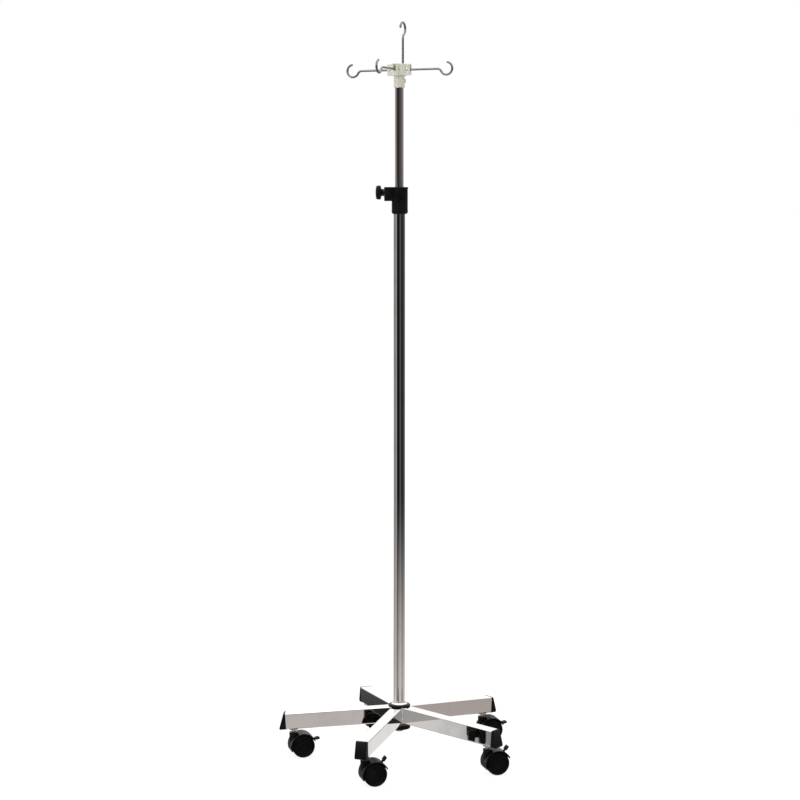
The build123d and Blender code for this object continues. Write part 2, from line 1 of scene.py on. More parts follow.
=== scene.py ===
"""Rolling infusion stand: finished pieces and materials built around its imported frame."""

import json
import logging
import math
from dataclasses import dataclass
from enum import Enum
from typing import Callable, Sequence

import bmesh
import bpy
from mathutils import Matrix, Vector

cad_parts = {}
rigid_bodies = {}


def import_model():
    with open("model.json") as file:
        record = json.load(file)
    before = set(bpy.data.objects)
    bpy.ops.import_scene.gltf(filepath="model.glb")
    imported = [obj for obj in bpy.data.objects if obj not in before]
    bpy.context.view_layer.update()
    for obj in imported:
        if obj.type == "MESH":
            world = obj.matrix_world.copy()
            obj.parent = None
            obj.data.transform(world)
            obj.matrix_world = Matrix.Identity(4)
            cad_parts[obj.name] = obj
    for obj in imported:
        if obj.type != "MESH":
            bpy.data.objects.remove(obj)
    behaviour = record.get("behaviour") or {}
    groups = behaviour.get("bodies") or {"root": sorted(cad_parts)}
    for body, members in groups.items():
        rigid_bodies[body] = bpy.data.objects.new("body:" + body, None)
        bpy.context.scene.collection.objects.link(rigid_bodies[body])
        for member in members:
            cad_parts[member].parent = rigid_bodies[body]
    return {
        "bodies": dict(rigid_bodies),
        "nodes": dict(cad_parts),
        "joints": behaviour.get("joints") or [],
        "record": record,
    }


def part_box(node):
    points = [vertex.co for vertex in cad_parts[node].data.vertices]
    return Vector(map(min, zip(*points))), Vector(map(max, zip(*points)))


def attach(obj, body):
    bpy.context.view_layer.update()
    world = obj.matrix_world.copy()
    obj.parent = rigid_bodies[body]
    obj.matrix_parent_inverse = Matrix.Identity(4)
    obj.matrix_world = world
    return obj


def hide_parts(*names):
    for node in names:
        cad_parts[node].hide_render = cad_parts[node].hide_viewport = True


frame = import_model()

LOG = logging.getLogger("infusion_stand")
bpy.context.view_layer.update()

Point2 = tuple[float, float]
Corner = tuple[float, float, float]
Colour = tuple[float, float, float]
Node = bpy.types.Node
Socket = bpy.types.NodeSocket
Shape = bmesh.types.BMesh

UP = Vector((0, 0, 1))
ARC_STEPS = 5
BEVEL_STEPS = 3
TURNED_SEGMENTS = 96
CAP_ANGLES = (0.0, 0.5, 1.0, 1.35)
SHARP_ANGLE = math.radians(32)
MERGE_DISTANCE = 1e-7
ON_AXIS = 1e-6
WHITE = (1.0, 1.0, 1.0)

LEGS = [name.removeprefix("caster_") for name in frame["bodies"] if name.startswith("caster_")]
HOOKS = [name.removeprefix("hook_") for name in frame["bodies"] if name.startswith("hook_")]


class Slot(Enum):
    """Material slots of the record that the pieces take their finish from."""

    CHROME = "chrome_tube"
    BLACK = "black_plastic"
    WHEEL = "caster_wheel"
    ZINC = "zinc_steel"
    WIRE = "wire_steel"
    IVORY = "ivory_plastic"
    NYLON = "white_nylon"
    BRASS = "brass"
    RUBBER = "pad_rubber"


# ---- node helpers ----------------------------------------------------------------


def rgba(colour: Colour) -> tuple[float, float, float, float]:
    """Adds full opacity to a colour."""
    return (*colour, 1.0)


class Graph:
    """Adds and links nodes in one node tree."""

    def __init__(self, tree: bpy.types.NodeTree) -> None:
        """Keeps the tree to fill."""
        self.tree = tree

    def add(self, kind: str, values: dict[str, object] | None = None, **settings: object) -> Node:
        """Adds one node.

        Args:
            kind: The node's type name.
            values: Socket values, by socket name.
            **settings: Properties of the node itself.

        Returns:
            The new node.
        """
        node = self.tree.nodes.new(kind)
        for name, value in settings.items():
            setattr(node, name, value)
        for name, value in (values or {}).items():
            node.inputs[name].default_value = value
        return node

    def feed(self, value: Socket | Colour | float, target: Socket) -> None:
        """Links a socket to an input, or sets the input to a colour or a number.

        Args:
            value: What goes in.
            target: The input socket.
        """
        if isinstance(value, Socket):
            self.tree.links.new(value, target)
        else:
            target.default_value = rgba(value) if isinstance(value, tuple) else value

    def math(self, operation: str, *values: Socket | float, clamp: bool = False) -> Socket:
        """Adds a math node.

        Args:
            operation: The math node's operation.
            *values: Sockets or numbers for its inputs.
            clamp: Keeps the result between 0 and 1.

        Returns:
            The result's socket.
        """
        node = self.add("ShaderNodeMath", operation=operation, use_clamp=clamp)
        for value, target in zip(values, node.inputs):
            self.feed(value, target)
        return node.outputs[0]

    def spread(
        self, value: Socket, low: float, high: float, to_low: float = 0.0, to_high: float = 1.0
    ) -> Socket:
        """Maps a value's range on to another, smoothly and without overshoot.

        Args:
            value: Socket with the value.
            low: Start of the input range.
            high: End of the input range.
            to_low: Result at the start.
            to_high: Result at the end.

        Returns:
            The result's socket.
        """
        values = {"From Min": low, "From Max": high, "To Min": to_low, "To Max": to_high}
        node = self.add("ShaderNodeMapRange", values, interpolation_type="SMOOTHSTEP")
        self.feed(value, node.inputs["Value"])
        return node.outputs["Result"]

    def noise(
        self, place: Socket, scale: Socket | float, detail: float, roughness: float = 0.5, warp: float = 0.0
    ) -> Socket:
        """Adds a noise texture.

        Args:
            place: Socket with the coordinates.
            scale: Socket or number with the scale.
            detail: Number of finer layers.
            roughness: Strength of the finer layers.
            warp: How far the noise is distorted.

        Returns:
            Socket with the noise, from 0 to 1.
        """
        values = {"Detail": detail, "Roughness": roughness, "Distortion": warp}
        node = self.add("ShaderNodeTexNoise", values)
        self.feed(place, node.inputs["Vector"])
        self.feed(scale, node.inputs["Scale"])
        return node.outputs["Fac"]

    def mix(self, factor: Socket, first: Socket | Colour, second: Socket | Colour) -> Socket:
        """Mixes two colours.

        Args:
            factor: Socket that picks the second colour at 1.
            first: Socket or colour.
            second: Socket or colour.

        Returns:
            The mixed colour's socket.
        """
        node = self.add("ShaderNodeMix", data_type="RGBA")
        self.feed(factor, node.inputs[0])
        self.feed(first, node.inputs[6])
        self.feed(second, node.inputs[7])
        return node.outputs[2]

    def blend(self, factor: Socket, first: Socket, second: Socket) -> Socket:
        """Mixes two shaders.

        Args:
            factor: Socket that picks the second shader at 1.
            first: The first shader's socket.
            second: The second shader's socket.

        Returns:
            The mixed shader's socket.
        """
        node = self.add("ShaderNodeMixShader")
        for value, target in zip((factor, first, second), node.inputs):
            self.feed(value, target)
        return node.outputs["Shader"]

    def split(self, direction: Socket) -> tuple[Socket, Socket, Socket]:
        """Takes a direction apart.

        Args:
            direction: Socket with the direction.

        Returns:
            Sockets with its X, Y and Z.
        """
        node = self.add("ShaderNodeSeparateXYZ")
        self.feed(direction, node.inputs["Vector"])
        return node.outputs["X"], node.outputs["Y"], node.outputs["Z"]


class EffectGroup(Graph):
    """A node group that materials place, with object coordinates and numbers going in."""

    def __init__(self, name: str, inputs: dict[str, float], outputs: Sequence[str]) -> None:
        """Starts the group with its sockets.

        Args:
            name: The group's name.
            inputs: Names of the number inputs with their defaults.
            outputs: Names of the number outputs.
        """
        super().__init__(bpy.data.node_groups.new(name, "ShaderNodeTree"))
        face = self.tree.interface
        face.new_socket(name="Vector", in_out="INPUT", socket_type="NodeSocketVector")
        for label, default in inputs.items():
            face.new_socket(name=label, in_out="INPUT", socket_type="NodeSocketFloat").default_value = default
        for label in outputs:
            face.new_socket(name=label, in_out="OUTPUT", socket_type="NodeSocketFloat")
        self.start = self.add("NodeGroupInput")
        self.end = self.add("NodeGroupOutput")
        self.place = self.start.outputs["Vector"]

    def take(self, label: str) -> Socket:
        """Returns the socket with an input's value."""
        return self.start.outputs[label]

    def give(self, label: str, value: Socket) -> None:
        """Sends a result to an output."""
        self.feed(value, self.end.inputs[label])


class Effects:
    """The surface effects that several finishes share, each one a node group built once."""

    def __init__(self) -> None:
        """Builds every group."""
        self.grain = self.build_grain()
        self.smudge = self.build_smudge()
        self.draw_lines = self.build_draw_lines()
        self.edge_rub = self.build_edge_rub()
        self.dust = self.build_dust()

    @staticmethod
    def build_grain() -> bpy.types.NodeTree:
        """Moulded texture: fine pits over slow waves.

        Returns:
            A group with Height and Tone outputs.
        """
        wave_scale, wave_height = 0.03, 0.35
        group = EffectGroup("moulded_grain", {"Fineness": 1500.0}, ["Height", "Tone"])
        pits = group.noise(group.place, group.take("Fineness"), detail=3.0, roughness=0.6)
        scale = group.math("MULTIPLY", group.take("Fineness"), wave_scale)
        waves = group.noise(group.place, scale, detail=2.0)
        group.give("Height", group.math("MULTIPLY_ADD", waves, wave_height, pits))
        group.give("Tone", waves)
        return group.tree

    @staticmethod
    def build_smudge() -> bpy.types.NodeTree:
        """Soft patches where the surface was handled.

        Returns:
            A group with a Mask output.
        """
        steepness = 4.0
        group = EffectGroup("handling_smudge", {"Scale": 18.0, "Cover": 0.5}, ["Mask"])
        patches = group.noise(group.place, group.take("Scale"), detail=5.0, roughness=0.62, warp=0.6)
        limit = group.math("SUBTRACT", 1.0, group.take("Cover"))
        raised = group.math("SUBTRACT", patches, limit)
        group.give("Mask", group.math("MULTIPLY", raised, steepness, clamp=True))
        return group.tree

    @staticmethod
    def build_draw_lines() -> bpy.types.NodeTree:
        """Faint lines along one direction, left by drawing and polishing.

        Returns:
            A group with Height and Mask outputs.
        """
        group = EffectGroup("draw_lines", {"Across": 900.0, "Along": 6.0}, ["Height", "Mask"])
        scale = group.add("ShaderNodeCombineXYZ")
        for axis, label in zip("XYZ", ("Across", "Across", "Along")):
            group.feed(group.take(label), scale.inputs[axis])
        stretch = group.add("ShaderNodeVectorMath", operation="MULTIPLY")
        group.feed(group.place, stretch.inputs[0])
        group.feed(scale.outputs["Vector"], stretch.inputs[1])
        lines = group.noise(stretch.outputs["Vector"], 1.0, detail=3.0, roughness=0.7)
        group.give("Height", lines)
        group.give("Mask", group.spread(lines, low=0.56, high=0.72))
        return group.tree

    @staticmethod
    def build_edge_rub() -> bpy.types.NodeTree:
        """Edges rubbed by use, broken up by noise.

        Returns:
            A group with a Mask output.
        """
        group = EffectGroup("edge_rub", {"Amount": 0.5}, ["Mask"])
        shape = group.add("ShaderNodeNewGeometry")
        edges = group.spread(shape.outputs["Pointiness"], low=0.53, high=0.62)
        breakup = group.noise(group.place, 240.0, detail=4.0, roughness=0.7)
        worn = group.math("MULTIPLY", edges, group.spread(breakup, low=0.42, high=0.62))
        group.give("Mask", group.math("MULTIPLY", worn, group.take("Amount"), clamp=True))
        return group.tree

    @staticmethod
    def build_dust() -> bpy.types.NodeTree:
        """Dust that settles on what faces up.

        Returns:
            A group with a Mask output.
        """
        group = EffectGroup("settled_dust", {"Amount": 0.3}, ["Mask"])
        shape = group.add("ShaderNodeNewGeometry")
        _, _, upward = group.split(shape.outputs["Normal"])
        level = group.spread(upward, low=0.2, high=0.95)
        specks = group.noise(group.place, 420.0, detail=5.0, roughness=0.75)
        grains = group.spread(specks, low=0.45, high=0.7, to_low=0.25)
        settled = group.math("MULTIPLY", level, grains)
        group.give("Mask", group.math("MULTIPLY", settled, group.take("Amount"), clamp=True))
        return group.tree


class Surface(Graph):
    """The node tree of one material, from its object coordinates to its output."""

    def __init__(self, name: str) -> None:
        """Starts the material.

        Args:
            name: The material's name.
        """
        self.material = bpy.data.materials.new(name)
        self.material.use_nodes = True
        super().__init__(self.material.node_tree)
        self.tree.nodes.clear()
        self.place = self.add("ShaderNodeTexCoord").outputs["Object"]
        self.output = self.add("ShaderNodeOutputMaterial").inputs["Surface"]

    def effect(self, group: bpy.types.NodeTree, **values: float) -> Node:
        """Places a shared effect in the material.

        Args:
            group: The effect's node group.
            **values: The effect's own values, by input name.

        Returns:
            The group's node.
        """
        node = self.add("ShaderNodeGroup", node_tree=group)
        self.feed(self.place, node.inputs["Vector"])
        for label, value in values.items():
            node.inputs[label].default_value = value
        return node

    def relief(self, shader: Node, height: Socket, strength: float, depth: float) -> None:
        """Turns a height into the shader's normal.

        Args:
            shader: The surface shader.
            height: Socket with the height.
            strength: Strength of the relief.
            depth: Depth of the relief in metres.
        """
        bump = self.add("ShaderNodeBump", {"Strength": strength, "Distance": depth})
        self.feed(height, bump.inputs["Height"])
        self.feed(bump.outputs["Normal"], shader.inputs["Normal"])


# ---- finishes --------------------------------------------------------------------


@dataclass(frozen=True)
class PlatedFinish:
    """Bright plating over steel: draw lines, handling marks and a little tarnish."""

    name: str
    bright: Colour
    tarnish: Colour
    smooth: float = 0.05
    dull: float = 0.17
    line_spacing: float = 900.0
    line_depth: float = 0.0000015
    line_strength: float = 0.25
    line_dulling: float = 0.35
    smudge_scale: float = 16.0
    smudge_cover: float = 0.5
    smudge_share: float = 0.75
    rub: float = 0.6
    rub_shade: float = 0.82

    def build(self, effects: Effects) -> bpy.types.Material:
        """Builds the material.

        Args:
            effects: The shared surface effects.

        Returns:
            The finished material.
        """
        surface = Surface(self.name)
        shader = surface.add("ShaderNodeBsdfPrincipled", {"Metallic": 1.0})
        surface.feed(shader.outputs["BSDF"], surface.output)
        lines = surface.effect(effects.draw_lines, Across=self.line_spacing)
        smudge = surface.effect(effects.smudge, Scale=self.smudge_scale, Cover=self.smudge_cover)
        rub = surface.effect(effects.edge_rub, Amount=self.rub)
        marks = surface.math("MULTIPLY", smudge.outputs["Mask"], self.smudge_share)
        colour = surface.mix(marks, self.bright, self.tarnish)
        rubbed = tuple(self.rub_shade * part for part in self.tarnish)
        surface.feed(surface.mix(rub.outputs["Mask"], colour, rubbed), shader.inputs["Base Color"])
        scuffs = surface.math("MULTIPLY", lines.outputs["Mask"], self.line_dulling)
        wear = surface.math("MAXIMUM", surface.math("MAXIMUM", marks, scuffs), rub.outputs["Mask"])
        surface.feed(surface.spread(wear, 0.0, 1.0, self.smooth, self.dull), shader.inputs["Roughness"])
        surface.relief(shader, lines.outputs["Height"], self.line_strength, self.line_depth)
        return surface.material


@dataclass(frozen=True)
class MouldedFinish:
    """Moulded plastic or rubber: grain, tone drift, rubbed edges and settled dust."""

    name: str
    colour: Colour
    tone: Colour
    rubbed: Colour
    dusty: Colour
    smooth: float = 0.34
    dull: float = 0.52
    fineness: float = 1500.0
    depth: float = 0.00004
    grain_strength: float = 0.35
    drift_low: float = 0.35
    drift_high: float = 0.65
    smudge_scale: float = 45.0
    smudge_cover: float = 0.52
    rub: float = 0.5
    dust: float = 0.25
    sheen_level: float = 0.45

    def build(self, effects: Effects) -> bpy.types.Material:
        """Builds the material.

        Args:
            effects: The shared surface effects.

        Returns:
            The finished material.
        """
        surface = Surface(self.name)
        shader = surface.add("ShaderNodeBsdfPrincipled", {"Specular IOR Level": self.sheen_level})
        surface.feed(shader.outputs["BSDF"], surface.output)
        grain = surface.effect(effects.grain, Fineness=self.fineness)
        smudge = surface.effect(effects.smudge, Scale=self.smudge_scale, Cover=self.smudge_cover)
        rub = surface.effect(effects.edge_rub, Amount=self.rub)
        dust = surface.effect(effects.dust, Amount=self.dust)
        drift = surface.spread(grain.outputs["Tone"], self.drift_low, self.drift_high)
        colour = surface.mix(drift, self.colour, self.tone)
        colour = surface.mix(rub.outputs["Mask"], colour, self.rubbed)
        colour = surface.mix(dust.outputs["Mask"], colour, self.dusty)
        surface.feed(colour, shader.inputs["Base Color"])
        matt = surface.math("MAXIMUM", smudge.outputs["Mask"], dust.outputs["Mask"])
        surface.feed(surface.spread(matt, 0.0, 1.0, self.smooth, self.dull), shader.inputs["Roughness"])
        surface.relief(shader, grain.outputs["Height"], self.grain_strength, self.depth)
        return surface.material


FINISHES = {
    Slot.CHROME: PlatedFinish(
        "polished_chrome", (0.74, 0.73, 0.72), (0.60, 0.58, 0.56), smooth=0.035, dull=0.10, rub=0.06
    ),
    Slot.ZINC: PlatedFinish(
        "zinc_plate", (0.56, 0.56, 0.54), (0.36, 0.35, 0.32), smooth=0.22, dull=0.42, smudge_scale=120.0
    ),
    Slot.WIRE: PlatedFinish(
        "drawn_wire", (0.20, 0.195, 0.19), (0.14, 0.135, 0.13), smooth=0.26, dull=0.44, smudge_scale=90.0
    ),
    Slot.BRASS: PlatedFinish(
        "turned_brass", (0.72, 0.54, 0.26), (0.42, 0.28, 0.12), smooth=0.2, dull=0.4, smudge_scale=200.0
    ),
    Slot.BLACK: MouldedFinish(
        "black_moulding", (0.0022, 0.0021, 0.0022), (0.0042, 0.0040, 0.0041), (0.022, 0.021, 0.020),
        (0.035, 0.033, 0.030), dust=0.06, sheen_level=0.07,
    ),
    Slot.WHEEL: MouldedFinish(
        "wheel_moulding", (0.0018, 0.0018, 0.0019), (0.0036, 0.0034, 0.0034), (0.020, 0.019, 0.018),
        (0.040, 0.037, 0.034), smooth=0.4, dull=0.62, dust=0.06, sheen_level=0.06,
    ),
    Slot.IVORY: MouldedFinish(
        "ivory_moulding", (0.50, 0.50, 0.43), (0.45, 0.45, 0.38), (0.64, 0.63, 0.57),
        (0.40, 0.39, 0.33), dull=0.50, depth=0.00001, rub=0.04, dust=0.06,
    ),
    Slot.NYLON: MouldedFinish(
        "white_nylon_moulding", (0.80, 0.80, 0.77), (0.72, 0.72, 0.68), (0.88, 0.88, 0.86),
        (0.55, 0.54, 0.50), smooth=0.4, dull=0.55,
    ),
    Slot.RUBBER: MouldedFinish(
        "pad_rubber_moulding", (0.020, 0.020, 0.020), (0.030, 0.030, 0.030), (0.06, 0.06, 0.06),
        (0.10, 0.10, 0.09), smooth=0.65, dull=0.85,
    ),
}


class Workshop:
    """Makes each finish once and dresses pieces and CAD nodes with it."""

    def __init__(self) -> None:
        """Builds the shared effects and all the materials."""
        effects = Effects()
        self.materials = {slot: finish.build(effects) for slot, finish in FINISHES.items()}
        self.node_slots = {row["node"]: Slot(row["material_slot"]) for row in frame["record"]["subparts"]}

    def dress_nodes(self) -> None:
        """Gives every CAD node the material of its own slot."""
        for name, node in frame["nodes"].items():
            slot = self.node_slots[name]
            if not node.material_slots:
                node.data.materials.append(self.materials[slot])
            for holder in node.material_slots:
                holder.material = self.materials[slot]
            LOG.info("node %s: %s", name, slot.value)

    def fit(self, name: str, shape: Shape, slot: Slot, body: str, *replaced: str) -> None:
        """Turns a bmesh into a piece with smooth faces and crisp edges, dressed and on its body.

        Args:
            name: The piece's name.
            shape: Its bmesh, in the row frame, freed afterwards.
            slot: Its finish.
            body: The body it moves with.
            *replaced: CAD nodes it stands for.
        """
        bmesh.ops.remove_doubles(shape, verts=shape.verts, dist=MERGE_DISTANCE)
        bmesh.ops.recalc_face_normals(shape, faces=shape.faces)
        mesh = bpy.data.meshes.new(name)
        shape.to_mesh(mesh)
        shape.free()
        mesh.polygons.foreach_set("use_smooth", [True] * len(mesh.polygons))
        mesh.set_sharp_from_angle(angle=SHARP_ANGLE)
        mesh.materials.append(self.materials[slot])
        piece = bpy.data.objects.new(name, mesh)
        bpy.context.scene.collection.objects.link(piece)
        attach(piece, body)
        if replaced:
            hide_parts(*replaced)
        LOG.info("piece %s on %s", name, body)


# ---- shape helpers ---------------------------------------------------------------




def rounded(corners: Sequence[Corner], closed: bool = False) -> list[Point2]:
    """Rounds the corners of an outline.

    Args:
        corners: Corners as (x, y, radius); a radius of 0 keeps the corner sharp.
        closed: Whether the last corner joins the first.

    Returns:
        The outline's points.
    """
    points: list[Point2] = []
    count = len(corners)
    for index, (x, y, radius) in enumerate(corners):
        here = Vector((x, y))
        inner = closed or 0 < index < count - 1
        if radius <= 0 or not inner:
            points.append((x, y))
            continue
        before = Vector(corners[index - 1][:2]) - here
        after = Vector(corners[(index + 1) % count][:2]) - here
        half = before.angle(after) / 2
        reach = min(radius / math.tan(half), 0.49 * before.length, 0.49 * after.length)
        start = here + before.normalized() * reach
        end = here + after.normalized() * reach
        for step in range(ARC_STEPS + 1):
            part = step / ARC_STEPS
            bend = start * (1 - part) ** 2 + here * 2 * part * (1 - part) + end * part**2
            points.append((bend.x, bend.y))
    return points


def frame_at(origin: Vector, z_axis: Vector, x_axis: Vector) -> Matrix:
    """Makes a placement from an origin and two directions.

    Args:
        origin: The origin.
        z_axis: Direction of local Z.
        x_axis: Rough direction of local X.

    Returns:
        The placement as a 4 by 4 matrix.
    """
    z = z_axis.normalized()
    y = z.cross(x_axis).normalized()
    x = y.cross(z)
    turn = Matrix((x, y, z)).transposed().to_4x4()
    return Matrix.Translation(origin) @ turn


def wall_faces(shape: Shape, low: Sequence, high: Sequence) -> None:
    """Adds the faces between two rings, either of which may be a single point on the axis.

    Args:
        shape: The bmesh.
        low: Corners of the first ring.
        high: Corners of the second ring.
    """
    count = max(len(low), len(high))
    for step in range(count):
        after = (step + 1) % count
        if len(low) == 1:
            shape.faces.new((low[0], high[step], high[after]))
        elif len(high) == 1:
            shape.faces.new((low[step], high[0], low[after]))
        else:
            shape.faces.new((low[step], low[after], high[after], high[step]))


def add_turned(
    shape: Shape,
    profile: Sequence[Point2],
    place: Matrix = Matrix.Identity(4),
    closed: bool = False,
    segments: int = TURNED_SEGMENTS,
    swell: Callable[[float, float], float] | None = None,
) -> None:
    """Adds a turned shape to a bmesh.

    Args:
        shape: The bmesh.
        profile: Points as (radius, height).
        place: Where it goes in the bmesh.
        closed: Whether the profile is a closed ring.
        segments: Number of steps round the axis.
        swell: Scale of the radius for a radius and an angle.
    """
    rings = []
    for radius, height in profile:
        if radius < ON_AXIS:
            rings.append([shape.verts.new(place @ Vector((0, 0, height)))])
            continue
        ring = []
        for step in range(segments):
            angle = math.tau * step / segments
            reach = radius * (swell(radius, angle) if swell else 1.0)
            spot = Vector((reach * math.cos(angle), reach * math.sin(angle), height))
            ring.append(shape.verts.new(place @ spot))
        rings.append(ring)
    if closed:
        rings.append(rings[0])
    for low, high in zip(rings, rings[1:]):
        wall_faces(shape, low, high)


def add_swept(
    shape: Shape, path: Sequence[Vector], radius: float | Callable[[float], float], segments: int = 24
) -> None:
    """Adds a round bar along a path, with rounded ends.

    Args:
        shape: The bmesh.
        path: Points of the centre line.
        radius: Bar radius, or a function of the share of the path, 0 to 1.
        segments: Number of steps round the bar.
    """
    last = len(path) - 1
    tangents = []
    for index in range(last + 1):
        tangents.append((path[min(index + 1, last)] - path[max(index - 1, 0)]).normalized())
    side = tangents[0].orthogonal().normalized()
    rings = []
    for index, (point, tangent) in enumerate(zip(path, tangents)):
        side = (side - tangent * side.dot(tangent)).normalized()
        other = tangent.cross(side)
        reach = radius(index / last) if callable(radius) else radius
        caps = [(0.0, 1.0)]
        if index == last:
            caps = [(math.sin(angle), math.cos(angle)) for angle in CAP_ANGLES]
        elif index == 0:
            caps = [(-math.sin(angle), math.cos(angle)) for angle in reversed(CAP_ANGLES)]
        for shift, shrink in caps:
            centre = point + tangent * reach * shift
            ring = []
            for step in range(segments):
                angle = math.tau * step / segments
                offset = side * math.cos(angle) + other * math.sin(angle)
                ring.append(shape.verts.new(centre + offset * reach * shrink))
            rings.append(ring)
    for low, high in zip(rings, rings[1:]):
        wall_faces(shape, low, high)
    shape.faces.new(rings[0][::-1])
    shape.faces.new(rings[-1])


def add_prism(
    shape: Shape, outline: Sequence[Point2], low: float, high: float, bevel: float, place: Matrix
) -> None:
    """Adds a prism with bevelled rims.

    Args:
        shape: The bmesh.
        outline: Points of the outline, in local X and Y.
        low: Lower local Z.
        high: Upper local Z.
        bevel: Width of the bevel round both rims.
        place: Where it goes in the bmesh.
    """
    part = bmesh.new()
    bottom = [part.verts.new((x, y, low)) for x, y in outline]
    top = [part.verts.new((x, y, high)) for x, y in outline]
    rims = [part.faces.new(bottom[::-1]), part.faces.new(top)]
    wall_faces(part, bottom, top)
    edges = list({edge for face in rims for edge in face.edges})
    bmesh.ops.bevel(
        part, geom=edges, offset=bevel, segments=BEVEL_STEPS, profile=0.5, affect="EDGES", clamp_overlap=True
    )
    part.transform(place)
    mesh = bpy.data.meshes.new("part")
    part.to_mesh(mesh)
    part.free()
    shape.from_mesh(mesh)
    bpy.data.meshes.remove(mesh)


def add_bar(shape: Shape, corners: Sequence[Corner], half: float, bevel: float, place: Matrix) -> None:
    """Adds a prism of a rounded outline, as deep to both sides of local Z.

    Args:
        shape: The bmesh.
        corners: Corners of the outline as (x, y, radius).
        half: Half of its depth.
        bevel: Width of the bevel round both rims.
        place: Where it goes in the bmesh.
    """
    add_prism(shape, rounded(corners, closed=True), -half, half, bevel, place)


def add_ring(
    shape: Shape,
    corners: Sequence[Corner],
    place: Matrix = Matrix.Identity(4),
    segments: int = TURNED_SEGMENTS,
) -> None:
    """Adds a turned ring with a rounded section.

    Args:
        shape: The bmesh.
        corners: Corners of the section as (radius, height, corner radius).
        place: Where it goes in the bmesh.
        segments: Number of steps round the axis.
    """
    add_turned(shape, rounded(corners, closed=True), place, closed=True, segments=segments)


def box_size(node: str) -> tuple[Vector, Vector, float]:
    """Returns a node's low corner, high corner and half width."""
    low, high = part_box(node)
    return low, high, (high - low).x / 2


def joint(name: str) -> dict:
    """Returns the joint with this name from the frame."""
    return next(row for row in frame["joints"] if row["name"] == name)


def joint_place(name: str) -> Vector:
    """Returns where the joint with this name is."""
    return Vector(joint(name)["pos_m"])


def towards(first: Vector, second: Vector, degrees: float) -> Vector:
    """Returns the direction at an angle from a first direction towards a second one."""
    return first * math.cos(math.radians(degrees)) + second * math.sin(math.radians(degrees))


def heading(azimuth: float) -> Vector:
    """Returns the level direction of an azimuth in degrees."""
    return Vector((math.cos(math.radians(azimuth)), math.sin(math.radians(azimuth)), 0))


def azimuth_of(point: Vector) -> float:
    """Returns the azimuth of a point round the mast, in degrees."""
    return math.degrees(math.atan2(point.y, point.x))


def arc(centre: Point2, radius: float, start: float, sweep: float, steps: int) -> list[Point2]:
    """Makes the points of an arc.

    Args:
        centre: Centre of the arc.
        radius: Its radius.
        start: Start angle in degrees.
        sweep: Angle it covers, in degrees.
        steps: Number of steps.

    Returns:
        The arc's points.
    """
    angles = [math.radians(start + sweep * step / steps) for step in range(steps + 1)]
    return [(centre[0] + radius * math.cos(a), centre[1] + radius * math.sin(a)) for a in angles]


# ---- sub-assemblies --------------------------------------------------------------


